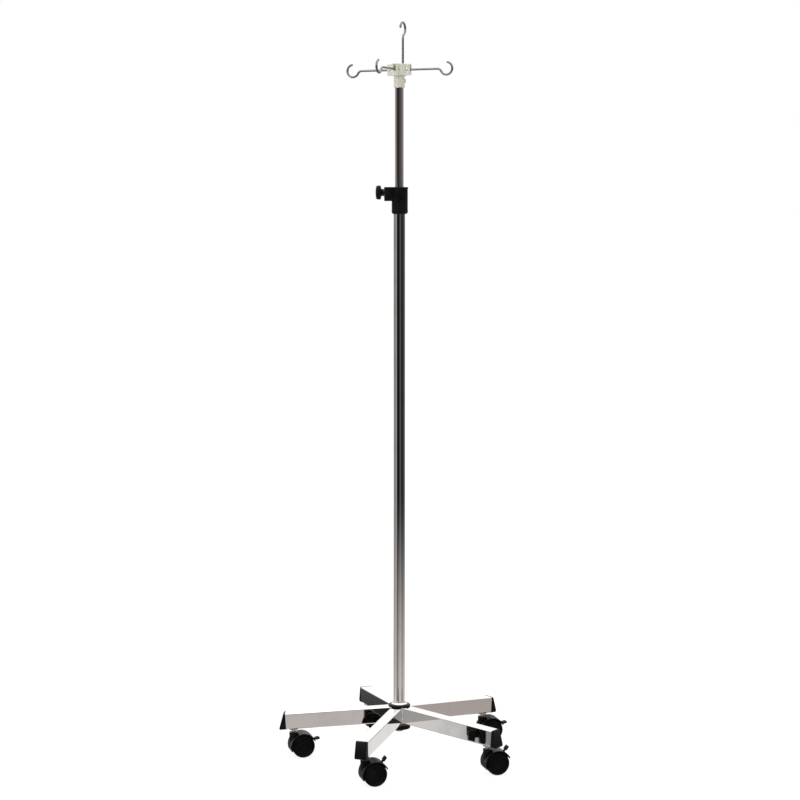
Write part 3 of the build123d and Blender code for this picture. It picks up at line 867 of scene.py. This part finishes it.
@dataclass(frozen=True)
class StarBase:
    """Welded star base: rings round the mast's foot, weld beads and leg noses."""

    shop: Workshop
    slope: float = 3.9
    leg_width: float = 0.025
    leg_height: float = 0.035
    mast_radius: float = 0.01256
    disc_bore: float = 0.00508
    disc_recess: float = 0.0012
    ribs: int = 10
    rib_circle: float = 0.0148
    rib_half: Point2 = (0.0032, 0.0006)
    rib_depths: Point2 = (0.0006, 0.0008)
    nose_top: float = 0.004
    nose_bottom: float = 0.016
    nose_edge: float = 0.0022
    lip_proud: float = 0.0004
    lip_length: float = 0.0013
    weld_radius: float = 0.0019
    weld_ripple: float = 0.16
    weld_waves: int = 22
    weld_steps: int = 88
    weld_gaps: Point2 = (0.0072, 0.0014)
    flange_rim: float = 0.0014
    flange_neck: float = 0.0009
    flange_lip: float = 0.0006
    flange_steps: int = 14

    def build(self) -> None:
        """Builds every piece of the base."""
        self.build_top_ring()
        self.build_bottom_ring()
        self.build_flange()
        for leg in LEGS:
            self.build_nose(leg)
            self.build_weld(leg)

    def build_top_ring(self) -> None:
        """Builds the black ring that lies on the legs, with a step round its rim."""
        low, high, reach = box_size("hub_top_ring")
        shape = bmesh.new()
        add_ring(shape, [
            (self.mast_radius, low.z, 0.0), (reach - 0.0006, low.z, 0.0003), (reach, low.z + 0.0006, 0.0004),
            (reach, high.z - 0.0016, 0.0006), (reach - 0.0012, high.z - 0.0010, 0.0003),
            (reach - 0.0018, high.z, 0.0006), (self.mast_radius, high.z, 0.0),
        ])
        self.shop.fit("base_top_ring", shape, Slot.BLACK, "base", "hub_top_ring")

    def build_bottom_ring(self) -> None:
        """Builds the disc under the hub, dished and ribbed underneath."""
        low, high, reach = box_size("hub_bottom_ring")
        bore, dish = self.disc_bore, low.z + self.disc_recess
        shape = bmesh.new()
        add_ring(shape, [
            (bore, high.z, 0), (reach, high.z, 0.0006), (reach, low.z, 0.0018),
            (reach - 0.0035, low.z, 0.0008), (reach - 0.0042, dish, 0.0008), (0.0115, dish, 0.0006),
            (0.0109, low.z, 0.0006), (bore, low.z, 0),
        ])
        half_x, half_y = self.rib_half
        rib = [(-half_x, -half_y), (half_x, -half_y), (half_x, half_y), (-half_x, half_y)]
        below, above = self.rib_depths
        for step in range(self.ribs):
            along = heading(360 / self.ribs * (step + 0.5))
            place = frame_at(along * self.rib_circle + UP * (low.z + above), UP, along)
            add_prism(shape, rib, -below, above, bevel=0.0002, place=place)
        self.shop.fit("base_bottom_disc", shape, Slot.BLACK, "base", "hub_bottom_ring")

    def build_flange(self) -> None:
        """Builds the flared foot cover, with a rolled rim and neck."""
        low, high, reach = box_size("mast_foot_flange")
        edge, mast, rim_top = reach - 0.0002, self.mast_radius, low.z + self.flange_rim
        neck = mast + self.flange_neck
        width = edge - neck
        height = high.z - rim_top - self.flange_lip
        flare = []
        for step in range(self.flange_steps + 1):
            angle = math.pi / 2 * step / self.flange_steps
            flare.append((edge - width * math.sin(angle), rim_top + height * (1 - math.cos(angle))))
        rim = rounded([
            (mast, low.z, 0), (reach, low.z, 0.0004), (reach, rim_top, 0.0009),
            (reach - 0.0012, rim_top + 0.0001, 0),
        ])
        lip_low = high.z - self.flange_lip
        lip = rounded([(neck, lip_low, 0), (neck + 0.0001, high.z, 0.0003), (mast, high.z, 0)])
        shape = bmesh.new()
        add_turned(shape, rim[:-1] + flare[3:-1] + lip, closed=True)
        self.shop.fit("mast_flare", shape, Slot.CHROME, "base", "mast_foot_flange")

    def leg_end(self, leg: str) -> Matrix:
        """Finds the open end of a leg, from the box of the leg that lies along the row frame's X.

        Args:
            leg: The leg's name.

        Returns:
            A placement with X along the leg, Y up across it and Z sideways.
        """
        outward = heading(azimuth_of(joint_place(f"caster_swivel_{leg}")))
        low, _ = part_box("leg_left")
        half = self.leg_height / 2
        slope = math.radians(self.slope)
        origin = outward * (-low.x - half * math.sin(slope)) + UP * (low.z + half * math.cos(slope))
        along = towards(outward, UP, -self.slope)
        return frame_at(origin, along.cross(towards(UP, outward, self.slope)), along)

    def build_nose(self, leg: str) -> None:
        """Builds the slanted plastic nose of a leg, with a lip against the tube.

        Args:
            leg: The leg's name.
        """
        place = self.leg_end(leg)
        half, side = self.leg_height / 2, self.leg_width / 2
        shape = bmesh.new()
        nose = [
            (0.0002, -half, 0), (self.nose_bottom, -half, 0.0030),
            (self.nose_top, half, 0.0026), (0.0002, half, 0),
        ]
        add_bar(shape, nose, side, bevel=self.nose_edge, place=place)
        proud, length = half + self.lip_proud, self.lip_length
        lip = [
            (0.0001, -proud, 0.0003), (length, -proud, 0.0003),
            (length, proud, 0.0003), (0.0001, proud, 0.0003),
        ]
        add_bar(shape, lip, side + self.lip_proud, bevel=0.0005, place=place)
        self.shop.fit(f"leg_nose_{leg}", shape, Slot.BLACK, "base", f"leg_cap_{leg}")

    def weld_bead(self, share: float) -> float:
        """Returns the rippled bead's radius at a share of its length."""
        return self.weld_radius * (1 + self.weld_ripple * math.sin(math.tau * self.weld_waves * share))

    def build_weld(self, leg: str) -> None:
        """Builds the weld bead that stands in the corner beside a leg.

        Args:
            leg: The leg's name.
        """
        half_step = 180 / len(LEGS)
        corner = self.leg_width / 2 / math.sin(math.radians(half_step))
        outward = heading(azimuth_of(joint_place(f"caster_swivel_{leg}")) + half_step)
        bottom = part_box("hub_bottom_ring")[1].z + self.weld_gaps[0]
        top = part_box("hub_top_ring")[0].z - self.weld_gaps[1]
        path = []
        for step in range(self.weld_steps + 1):
            path.append(outward * corner + UP * (bottom + (top - bottom) * step / self.weld_steps))
        shape = bmesh.new()
        add_swept(shape, path, self.weld_bead, segments=14)
        self.shop.fit(f"weld_bead_{leg}", shape, Slot.ZINC, "base")


@dataclass(frozen=True)
class TelescopicMast:
    """The two chrome tubes, with rounded mouths."""

    shop: Workshop
    lower_wall: float = 0.0015
    upper_wall: float = 0.0012
    mouth: float = 0.0005
    support: float = 0.0012
    segments: int = 128

    def build(self) -> None:
        """Builds both tubes."""
        self.build_tube("mast_lower_tube", "lower_mast", "base", self.lower_wall)
        self.build_tube("mast_upper_tube", "upper_mast", "mast", self.upper_wall)

    def build_tube(self, node: str, name: str, body: str, wall: float) -> None:
        """Builds one tube, with extra corners near its ends that keep its shading straight.

        Args:
            node: The CAD node it stands for.
            name: The piece's name.
            body: The body it moves with.
            wall: Its wall.
        """
        low, high, outer = box_size(node)
        inner = outer - wall
        start, end = low.z + self.support, high.z - self.support
        shape = bmesh.new()
        add_ring(shape, [
            (inner, start, 0), (inner, low.z, self.mouth), (outer, low.z, self.mouth), (outer, start, 0),
            (outer, end, 0), (outer, high.z, self.mouth), (inner, high.z, self.mouth), (inner, end, 0),
        ], segments=self.segments)
        self.shop.fit(name, shape, Slot.CHROME, body, node)


@dataclass(frozen=True)
class MastClamp:
    """Clamp fittings: the fluted knob, and the beads round the collar."""

    shop: Workshop
    flutes: int = 18
    flute_depth: float = 0.045
    flute_start: float = 0.0134
    bore: float = 0.0041
    bore_end: float = 0.0434
    bead: float = 0.0006
    bead_steps: int = 120
    bead_heights: Point2 = (0.0052, 0.0068)
    bead_inset: float = 0.0008
    collar_shift: float = 0.001
    washer_radii: Point2 = (0.0046, 0.0096)

    def build(self) -> None:
        """Builds the knob and the collar's beads."""
        self.build_knob()
        self.build_collar_beads()

    def flute(self, radius: float, angle: float) -> float:
        """Scales the knob's radius into flutes near its rim.

        Args:
            radius: Radius of the plain knob.
            angle: Angle round it.

        Returns:
            The scale at this angle.
        """
        if radius < self.flute_start:
            return 1.0
        wave = 0.5 + 0.5 * math.cos(self.flutes * angle)
        return 1 - self.flute_depth * wave**3

    def build_knob(self) -> None:
        """Builds the knob on the clamp screw's axis."""
        turn = joint("clamp_knob_turn")
        centre = Vector((0, 0, turn["pos_m"][2]))
        low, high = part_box("clamp_knob")
        start, end = -high.x, -low.x
        rim = high.z - centre.z
        corners = [
            (0.0, self.bore_end, 0), (self.bore, self.bore_end, 0), (self.bore, start, 0.0003),
            (0.0080, start, 0.0008), (0.0070, start + 0.0049, 0.0014), (rim - 0.0015, start + 0.0064, 0.0008),
            (rim, start + 0.0079, 0.0012), (rim, end - 0.0045, 0.0022), (rim - 0.0014, end - 0.0020, 0.0020),
            (0.0118, end - 0.0012, 0.0004), (0.0113, end - 0.0017, 0.0003), (0.0108, end - 0.0017, 0.0003),
            (0.0103, end - 0.0010, 0.0004), (0.0060, end - 0.0003, 0.0030), (0.0, end, 0),
        ]
        shape = bmesh.new()
        place = frame_at(centre, Vector(turn["axis"]), UP)
        add_turned(shape, rounded(corners), place, segments=self.flutes * 10, swell=self.flute)
        self.shop.fit("fluted_knob", shape, Slot.BLACK, "clamp_knob", "clamp_knob")

    def build_collar_beads(self) -> None:
        """Builds the moulded beads round the collar's foot and the boss's mouth."""
        low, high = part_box("clamp_collar")
        radius = high.x - self.collar_shift - self.bead_inset
        shape = bmesh.new()
        for height in self.bead_heights:
            ring = arc((self.collar_shift, 0.0), radius, 0, 360, self.bead_steps)
            add_swept(shape, [Vector((x, y, low.z + height)) for x, y in ring], self.bead, segments=10)
        centre = Vector((low.x, 0, joint_place("clamp_knob_turn").z))
        inner, outer = self.washer_radii
        washer = [
            (inner, -0.0006, 0), (outer, -0.0006, 0), (outer, 0.0003, 0.0002),
            (outer - 0.0006, 0.0003, 0.0002), (inner, 0.0003, 0.0001),
        ]
        add_ring(shape, washer, frame_at(centre, Vector((-1, 0, 0)), UP))
        self.shop.fit("collar_beads", shape, Slot.BLACK, "base")


@dataclass(frozen=True)
class HookHead:
    """Fittings of the moulded head: rivet heads, top plug, neck ring and the wire hooks."""

    shop: Workshop
    arm_half_width: float = 0.00725
    rivet_radius: float = 0.0025
    rivet_height: float = 0.0007
    rivet_root: float = 0.0004
    plug_radius: float = 0.0085
    neck_radius: float = 0.0115
    neck_gap: float = 0.0002
    wire_radius: float = 0.0024
    eye_radius: float = 0.0041
    eye_bore: float = 0.00158
    eye_inset: float = 0.0001
    knee_radius: float = 0.010
    curl_radius: float = 0.013
    curl_centre: Point2 = (0.107, 0.0005)
    curl_tip: float = 78.0
    path_steps: tuple[int, int, int] = (8, 12, 44)

    def build(self) -> None:
        """Builds the fittings and all the hooks."""
        self.build_rivets()
        self.build_plug()
        self.build_neck_ring()
        for hook in HOOKS:
            self.build_hook(hook)

    def build_rivets(self) -> None:
        """Builds the domed ends of the pivot pins on both sides of each arm."""
        radius, height = self.rivet_radius, self.rivet_height
        dome = [
            (0.0, -self.rivet_root), (radius, -self.rivet_root), (radius, height * 0.35),
            (radius * 0.86, height * 0.75), (radius * 0.5, height), (0.0, height * 1.1),
        ]
        shape = bmesh.new()
        for hook in HOOKS:
            pivot = joint_place(f"hook_{hook}_fold")
            across = heading(azimuth_of(pivot) + 90)
            for side in (across, -across):
                add_turned(shape, dome, frame_at(pivot + side * self.arm_half_width, side, UP), segments=28)
        self.shop.fit("hook_rivets", shape, Slot.ZINC, "mast")

    def build_plug(self) -> None:
        """Builds the round plug in the top of the head."""
        reach = self.plug_radius
        corners = [
            (0.0, -0.0005, 0), (reach, -0.0005, 0), (reach, 0.0008, 0.0005), (reach - 0.0012, 0.0011, 0.0004),
            (reach - 0.0022, 0.0006, 0.0004), (0.0035, 0.0007, 0.0006), (0.0, 0.0010, 0),
        ]
        shape = bmesh.new()
        add_turned(shape, rounded(corners), Matrix.Translation((0, 0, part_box("hook_head")[1].z)))
        self.shop.fit("head_plug", shape, Slot.IVORY, "mast")

    def build_neck_ring(self) -> None:
        """Builds the ring round the foot of the neck, against the tube's mouth."""
        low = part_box("mast_upper_tube")[1].z + self.neck_gap
        reach = self.neck_radius
        shape = bmesh.new()
        add_ring(shape, [
            (reach - 0.0010, low, 0), (reach + 0.0007, low, 0.0004), (reach + 0.0007, low + 0.0026, 0.0006),
            (reach - 0.0002, low + 0.0034, 0.0004), (reach - 0.0010, low + 0.0034, 0),
        ])
        self.shop.fit("head_neck_ring", shape, Slot.IVORY, "mast")

    def wire_path(self, pivot_radius: float) -> list[Point2]:
        """Makes a hook's centre line: shank, knee and curl.

        Args:
            pivot_radius: Distance of the pivot from the mast's axis.

        Returns:
            Points as (distance out, height), measured from the pivot.
        """
        centre_x, centre_z = self.curl_centre
        drop = centre_z + self.knee_radius
        knee_x = centre_x - math.sqrt((self.knee_radius + self.curl_radius) ** 2 - drop**2)
        join = math.degrees(math.atan2(drop, centre_x - knee_x))
        start = pivot_radius + self.eye_radius - self.wire_radius / 2
        shank_steps, knee_steps, curl_steps = self.path_steps
        shank = [(start + (knee_x - start) * step / shank_steps, 0.0) for step in range(shank_steps)]
        knee = arc((knee_x, -self.knee_radius), self.knee_radius, 90, join - 90, knee_steps)
        curl = arc(self.curl_centre, self.curl_radius, 180 + join, 180 - join + self.curl_tip, curl_steps)
        return [(x - pivot_radius, z) for x, z in shank + knee + curl[1:]]

    def build_hook(self, hook: str) -> None:
        """Builds one wire hook with its flattened eye, as it is at rest: level, or folded up.

        Args:
            hook: The hook's name.
        """
        fold = joint(f"hook_{hook}_fold")
        pivot = Vector(fold["pos_m"])
        outward = heading(azimuth_of(pivot))
        raised = fold["range_deg"][0] < 0
        reach, lift = (UP, -outward) if raised else (outward, UP)
        path = [pivot + reach * x + lift * z for x, z in self.wire_path(pivot.to_2d().length)]
        shape = bmesh.new()
        add_swept(shape, path, self.wire_radius, segments=28)
        half, bore, rim = self.wire_radius - self.eye_inset, self.eye_bore, self.eye_radius
        eye = [(bore, -half, 0.0004), (rim, -half, 0.0014), (rim, half, 0.0014), (bore, half, 0.0004)]
        add_ring(shape, eye, frame_at(pivot, reach.cross(lift), reach), segments=48)
        self.shop.fit(f"wire_hook_{hook}", shape, Slot.WIRE, f"hook_{hook}", f"hook_{hook}")


@dataclass(frozen=True)
class TwinWheelCaster:
    """One twin-wheel caster: wheels, hood rims and brake lever."""

    shop: Workshop
    leg: str
    wheel_radius: float = 0.025
    wheel_inner: float = 0.005
    wheel_outer: float = 0.019
    axle_bore: float = 0.0031
    axle_blind: float = 0.0171
    ribs: int = 6
    rib_half: float = 0.0010
    rib_taper: float = 0.8
    rib_ends: Point2 = (0.0104, 0.0185)
    rib_depths: Point2 = (0.0022, 0.0006)
    hood_radius: float = 0.0274
    hood_half_width: float = 0.0192
    rim_bead: float = 0.0011
    rim_start: float = 26.5
    rim_sweep: float = 173.0
    rim_steps: int = 60
    lever_raised: float = 52.9
    lever_lowered: float = 11.7
    lever_boss: float = 0.0040
    lever_half_width: float = 0.0024
    lever_half_height: float = 0.0019
    lever_overlap: float = 0.001
    pin_radius: float = 0.0015
    pin_half_length: float = 0.0046
    pedal_start: float = 0.0225
    pedal_end: float = 0.033
    pedal_half_width: float = 0.0065
    pedal_thickness: float = 0.0040
    grips: int = 3
    grip_radius: float = 0.0004
    grip_start: float = 0.0022
    grip_pitch: float = 0.0018
    grip_margin: float = 0.0016
    grip_sink: float = 0.0001
    grip_steps: int = 6

    def build(self) -> None:
        """Builds the caster's pieces."""
        self.build_wheel("outer", 1)
        self.build_wheel("inner", -1)
        self.build_lever()
        self.build_hood_rims()

    def side(self) -> Vector:
        """Returns the direction of the axle, towards the outer wheel."""
        return Vector(joint(f"wheel_spin_outer_{self.leg}")["axis"])

    def build_wheel(self, which: str, sign: int) -> None:
        """Builds one wheel: tread, sidewall groove, ribbed dish and hub cap.

        Args:
            which: Name of the wheel, outer or inner.
            sign: Side of the web it is on.
        """
        r, inner, outer = self.wheel_radius, self.wheel_inner, self.wheel_outer
        corners = [
            (0, self.axle_blind, 0), (self.axle_bore, self.axle_blind, 0), (self.axle_bore, inner, 0.0003),
            (r - 0.0046, inner, 0.0005), (r - 0.0040, inner + 0.0004, 0.0004),
            (r - 0.0014, inner + 0.0004, 0.0010), (r - 0.0002, inner + 0.0020, 0.0012),
            (r, inner + 0.0060, 0.0060), (r - 0.0002, outer - 0.0034, 0.0020),
            (r - 0.0032, outer, 0.0026), (r - 0.0040, outer, 0.0003), (r - 0.0043, outer - 0.0008, 0.0003),
            (r - 0.0049, outer - 0.0008, 0.0003), (r - 0.0052, outer - 0.0001, 0.0003),
            (0.0190, outer - 0.0002, 0.0005), (0.0180, outer - 0.0018, 0.0008),
            (0.0112, outer - 0.0018, 0.0006), (0.0106, outer - 0.0006, 0.0004), (0.0098, outer, 0.0006),
            (0.0060, outer + 0.0005, 0.0040), (0.0024, outer + 0.0006, 0.0004),
            (0.0019, outer + 0.0002, 0.0003), (0, outer + 0.0002, 0),
        ]
        place = frame_at(joint_place(f"wheel_spin_{which}_{self.leg}"), self.side() * sign, UP)
        shape = bmesh.new()
        add_turned(shape, rounded(corners), place, segments=112)
        start, end = self.rib_ends
        wide, thin = self.rib_half, self.rib_half * self.rib_taper
        rib = [(start, -wide), (end, -thin), (end, thin), (start, wide)]
        low, high = (outer - depth for depth in self.rib_depths)
        for step in range(self.ribs):
            turn = Matrix.Rotation(math.tau * step / self.ribs, 4, "Z")
            add_prism(shape, rib, low, high, bevel=0.0004, place=place @ turn)
        wheel = f"wheel_{which}_{self.leg}"
        self.shop.fit(wheel, shape, Slot.WHEEL, wheel, f"caster_{wheel}")

    def build_lever(self) -> None:
        """Builds the brake lever at rest, raised or pressed: pin, boss, arm and a ribbed pedal."""
        press = joint(f"brake_press_{self.leg}")
        angle = self.lever_lowered if press["range_deg"][0] < 0 else self.lever_raised
        trail = self.side().cross(UP)
        along = towards(trail, UP, angle)
        place = frame_at(Vector(press["pos_m"]), along.cross(towards(UP, trail, -angle)), along)
        wide, high = self.lever_half_width, self.lever_half_height
        shape = bmesh.new()
        end = self.pedal_start + self.lever_overlap
        arm = [(-0.002, -high, 0.0016), (end, -high, 0), (end, high, 0), (-0.002, high, 0.0016)]
        add_bar(shape, arm, wide, bevel=0.0005, place=place)
        pin, length, boss = self.pin_radius, self.pin_half_length, self.lever_boss
        add_turned(shape, rounded([
            (0, -length, 0), (pin, -length, 0.0003), (pin, -wide, 0), (boss, -wide, 0.0004),
            (boss, wide, 0.0004), (pin, wide, 0), (pin, length, 0.0003), (0, length, 0),
        ]), place, segments=40)
        start, end, half = self.pedal_start, self.pedal_end, self.pedal_thickness / 2
        pedal = [(start, -half, 0.0013), (end, -half, 0.0016), (end, half, 0.0016), (start, half, 0.0013)]
        add_bar(shape, pedal, self.pedal_half_width, bevel=0.0009, place=place)
        reach = self.pedal_half_width - self.grip_margin
        for step in range(self.grips):
            x = start + self.grip_start + self.grip_pitch * step
            spots = [-reach + 2 * reach * part / self.grip_steps for part in range(self.grip_steps + 1)]
            grip = [place @ Vector((x, half - self.grip_sink, spot)) for spot in spots]
            add_swept(shape, grip, self.grip_radius, segments=10)
        self.shop.fit(
            f"brake_pedal_{self.leg}", shape, Slot.BLACK, f"brake_{self.leg}", f"brake_lever_{self.leg}"
        )

    def build_hood_rims(self) -> None:
        """Builds the rolled rims along both open sides of the hood, and the dust ring on its top."""
        axle = joint_place(f"wheel_spin_outer_{self.leg}")
        trail = self.side().cross(UP)
        shape = bmesh.new()
        for side in (self.side(), -self.side()):
            path = []
            for step in range(self.rim_steps + 1):
                spot = towards(trail, UP, self.rim_start + self.rim_sweep * step / self.rim_steps)
                path.append(axle + spot * self.hood_radius + side * self.hood_half_width)
            add_swept(shape, path, self.rim_bead, segments=12)
        top = joint_place(f"caster_swivel_{self.leg}")
        top.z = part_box(f"caster_hood_{self.leg}")[1].z
        add_ring(shape, [
            (0.0062, -0.0018, 0), (0.0098, -0.0018, 0.0003), (0.0098, -0.0006, 0.0004),
            (0.0086, -0.0001, 0.0003), (0.0062, -0.0001, 0),
        ], Matrix.Translation(top), segments=64)
        self.shop.fit(f"hood_rims_{self.leg}", shape, Slot.BLACK, f"caster_{self.leg}")


# ---- studio ----------------------------------------------------------------------


# A band is an azimuth in degrees and the level of grey there, with its warmth where it isn't the usual.
Band = tuple[float, ...]

UPRIGHT_BANDS: list[Band] = [
    (0, 0.06), (22, 0.08), (45, 0.15), (62, 0.4), (68, 1.0), (112, 1.0), (120, 0.75), (142, 0.52),
    (168, 0.18), (187, 0.15), (195, 0.55), (209, 0.50), (222, 0.09), (236, 0.02), (250, 0.006),
    (272, 0.010), (279, 0.09), (292, 0.17), (300, 0.04), (328, 0.026), (346, 0.04), (360, 0.07),
]
HIGH_BANDS: list[Band] = [
    (0, 0.24, 0.06), (22, 0.36), (60, 0.6), (68, 1.0), (112, 1.0), (130, 0.6), (160, 0.40), (188, 0.26),
    (204, 0.11, 0.1), (222, 0.035, 0.1), (244, 0.022, 0.14), (264, 0.05, 0.14), (284, 0.09, 0.14),
    (312, 0.12, 0.12), (338, 0.16, 0.1), (360, 0.24, 0.06),
]
LOW_BANDS: list[Band] = [
    (0, 0.62), (22, 0.76), (48, 0.7), (51, 0.95), (66, 1.0), (108, 1.0), (116, 0.05), (132, 0.05), (142, 0.6),
    (177, 0.50), (190, 0.86, 0.02), (199.6, 0.82, 0.02), (200.5, 0.11, 0.05), (203, 0.12, 0.05), (207, 0.56),
    (228, 0.50), (231, 0.03), (237.5, 0.03), (240, 0.48), (246, 0.46), (262, 0.62, 0.08), (276, 0.66, 0.08),
    (288, 0.80), (306, 0.60), (328, 0.54, 0.08), (337, 0.52, 0.12), (347, 0.52, 0.12), (360, 0.62),
]


def grey(level: float, warmth: float = 0.03) -> Colour:
    """Makes a grey that is warmer than neutral by its warmth."""
    return (level, level * (1 - warmth), level * (1 - 1.4 * warmth))


@dataclass(frozen=True)
class Studio:
    """White studio: floor, surroundings that the chrome mirrors, soft lights and camera."""

    floor_half: float = 14.0
    floor_drop: float = 0.0005
    floor_tones: tuple[Colour, Colour] = ((0.90, 0.90, 0.90), (0.94, 0.94, 0.94))
    floor_grain: float = 1.2
    floor_glow: float = 1.02
    floor_glow_share: float = 0.86
    low_edge: Point2 = (-14.8, -8.0)
    high_edge: Point2 = (0.2, 1.0)
    ceiling_edge: Point2 = (4.6, 6.4)
    ceiling_slope: float = 0.16
    ceiling: Colour = (1.35, 1.34, 1.32)
    camera_place: Corner = (0.0, -4.2, 1.181)
    camera_pitch: float = 5.438
    camera_yaw: float = -0.021
    lens: float = 88.56
    sensor: float = 36.0
    far_clip: float = 100.0

    def build(self) -> None:
        """Builds the whole studio."""
        self.build_floor()
        self.build_world()
        self.build_light("overhead", (0.0, 0.4, 3.6), (0.0, 0.0, 0.5), 3.0, 40.0)
        self.build_light("key", (-2.6, -2.6, 2.6), (0.0, 0.0, 0.7), 1.6, 36.0)
        self.build_camera()
        bpy.context.scene.view_settings.view_transform = "Standard"

    def build_floor(self) -> None:
        """Builds the pale floor, which mostly glows for the camera and shows a faint shadow."""
        half = self.floor_half
        mesh = bpy.data.meshes.new("floor")
        corners = [(-half, -half, 0), (half, -half, 0), (half, half, 0), (-half, half, 0)]
        mesh.from_pydata(corners, [], [(0, 1, 2, 3)])
        floor = bpy.data.objects.new("floor", mesh)
        bpy.context.scene.collection.objects.link(floor)
        floor.location.z = -self.floor_drop
        surface = Surface("pale_floor")
        drift = surface.noise(surface.place, self.floor_grain, detail=2.0)
        lit = surface.add("ShaderNodeBsdfDiffuse")
        surface.feed(surface.mix(drift, *self.floor_tones), lit.inputs["Color"])
        glow = surface.add("ShaderNodeEmission", {"Color": rgba(WHITE), "Strength": self.floor_glow})
        seen = surface.add("ShaderNodeLightPath").outputs["Is Camera Ray"]
        share = surface.math("MULTIPLY", seen, self.floor_glow_share)
        surface.feed(surface.blend(share, lit.outputs["BSDF"], glow.outputs["Emission"]), surface.output)
        mesh.materials.append(surface.material)
        floor.visible_glossy = False

    @staticmethod
    def ramp(graph: Graph, turn: Socket, bands: Sequence[Band]) -> Socket:
        """Adds a colour ramp round the stand.

        Args:
            graph: The graph.
            turn: Azimuth as a share of a full turn.
            bands: Bands in order of azimuth, from 0 degrees.

        Returns:
            The colour's socket.
        """
        node = graph.add("ShaderNodeValToRGB")
        stops = node.color_ramp.elements
        while len(stops) > 1:
            stops.remove(stops[-1])
        for azimuth, *shade in bands:
            stop = stops.new(azimuth / 360) if azimuth else stops[0]
            stop.position = azimuth / 360
            stop.color = rgba(grey(*shade))
        graph.feed(turn, node.inputs["Fac"])
        return node.outputs["Color"]

    @staticmethod
    def rise(graph: Graph, height: Socket, edge: Point2) -> Socket:
        """Rises from 0 to 1 between two elevations.

        Args:
            graph: The graph.
            height: Upward part of the direction.
            edge: Elevations in degrees where it starts and ends.

        Returns:
            The result's socket.
        """
        low, high = (math.sin(math.radians(degrees)) for degrees in edge)
        return graph.spread(height, low, high)

    def build_world(self) -> None:
        """Builds the surroundings: upright bands in three storeys, and a ceiling that is higher in front."""
        world = bpy.data.worlds.new("studio")
        bpy.context.scene.world = world
        world.use_nodes = True
        world.node_tree.nodes.clear()
        graph = Graph(world.node_tree)
        x, y, height = graph.split(graph.add("ShaderNodeTexCoord").outputs["Generated"])
        turn = graph.math("DIVIDE", graph.math("ARCTAN2", y, x), math.tau)
        turn = graph.math("FRACT", graph.math("ADD", turn, 1.0))
        colour = self.ramp(graph, turn, LOW_BANDS)
        for edge, bands in ((self.low_edge, UPRIGHT_BANDS), (self.high_edge, HIGH_BANDS)):
            colour = graph.mix(self.rise(graph, height, edge), colour, self.ramp(graph, turn, bands))
        front = graph.math("MULTIPLY", graph.math("MINIMUM", y, 0.0), self.ceiling_slope)
        over = self.rise(graph, graph.math("ADD", height, front), self.ceiling_edge)
        shade = graph.add("ShaderNodeBackground")
        graph.feed(graph.mix(over, colour, self.ceiling), shade.inputs["Color"])
        white = graph.add("ShaderNodeBackground", {"Color": rgba(WHITE), "Strength": 1.0})
        seen = graph.add("ShaderNodeLightPath").outputs["Is Camera Ray"]
        output = graph.add("ShaderNodeOutputWorld")
        both = graph.blend(seen, shade.outputs["Background"], white.outputs["Background"])
        graph.feed(both, output.inputs["Surface"])

    @staticmethod
    def build_light(name: str, place: Corner, target: Corner, size: float, power: float) -> None:
        """Builds one soft square light.

        Args:
            name: The light's name.
            place: Where it is.
            target: What it points at.
            size: Length of its sides.
            power: Its power in watts.
        """
        light = bpy.data.lights.new(name, "AREA")
        light.size = size
        light.energy = power
        lamp = bpy.data.objects.new(name, light)
        lamp.location = place
        lamp.rotation_euler = (Vector(target) - Vector(place)).to_track_quat("-Z", "Y").to_euler()
        bpy.context.scene.collection.objects.link(lamp)

    def build_camera(self) -> None:
        """Builds the camera."""
        data = bpy.data.cameras.new("camera")
        data.lens = self.lens
        data.sensor_width = self.sensor
        data.clip_end = self.far_clip
        camera = bpy.data.objects.new("camera", data)
        camera.location = self.camera_place
        camera.rotation_euler = (math.radians(90 - self.camera_pitch), 0, math.radians(self.camera_yaw))
        bpy.context.scene.collection.objects.link(camera)
        bpy.context.scene.camera = camera


def main() -> None:
    """Builds the stand's pieces, dresses everything and sets up the studio."""
    logging.basicConfig(level=logging.INFO, format="%(message)s")
    shop = Workshop()
    shop.dress_nodes()
    StarBase(shop).build()
    TelescopicMast(shop).build()
    MastClamp(shop).build()
    HookHead(shop).build()
    for leg in LEGS:
        TwinWheelCaster(shop, leg).build()
    Studio().build()


if __name__ == "__main__":
    main()
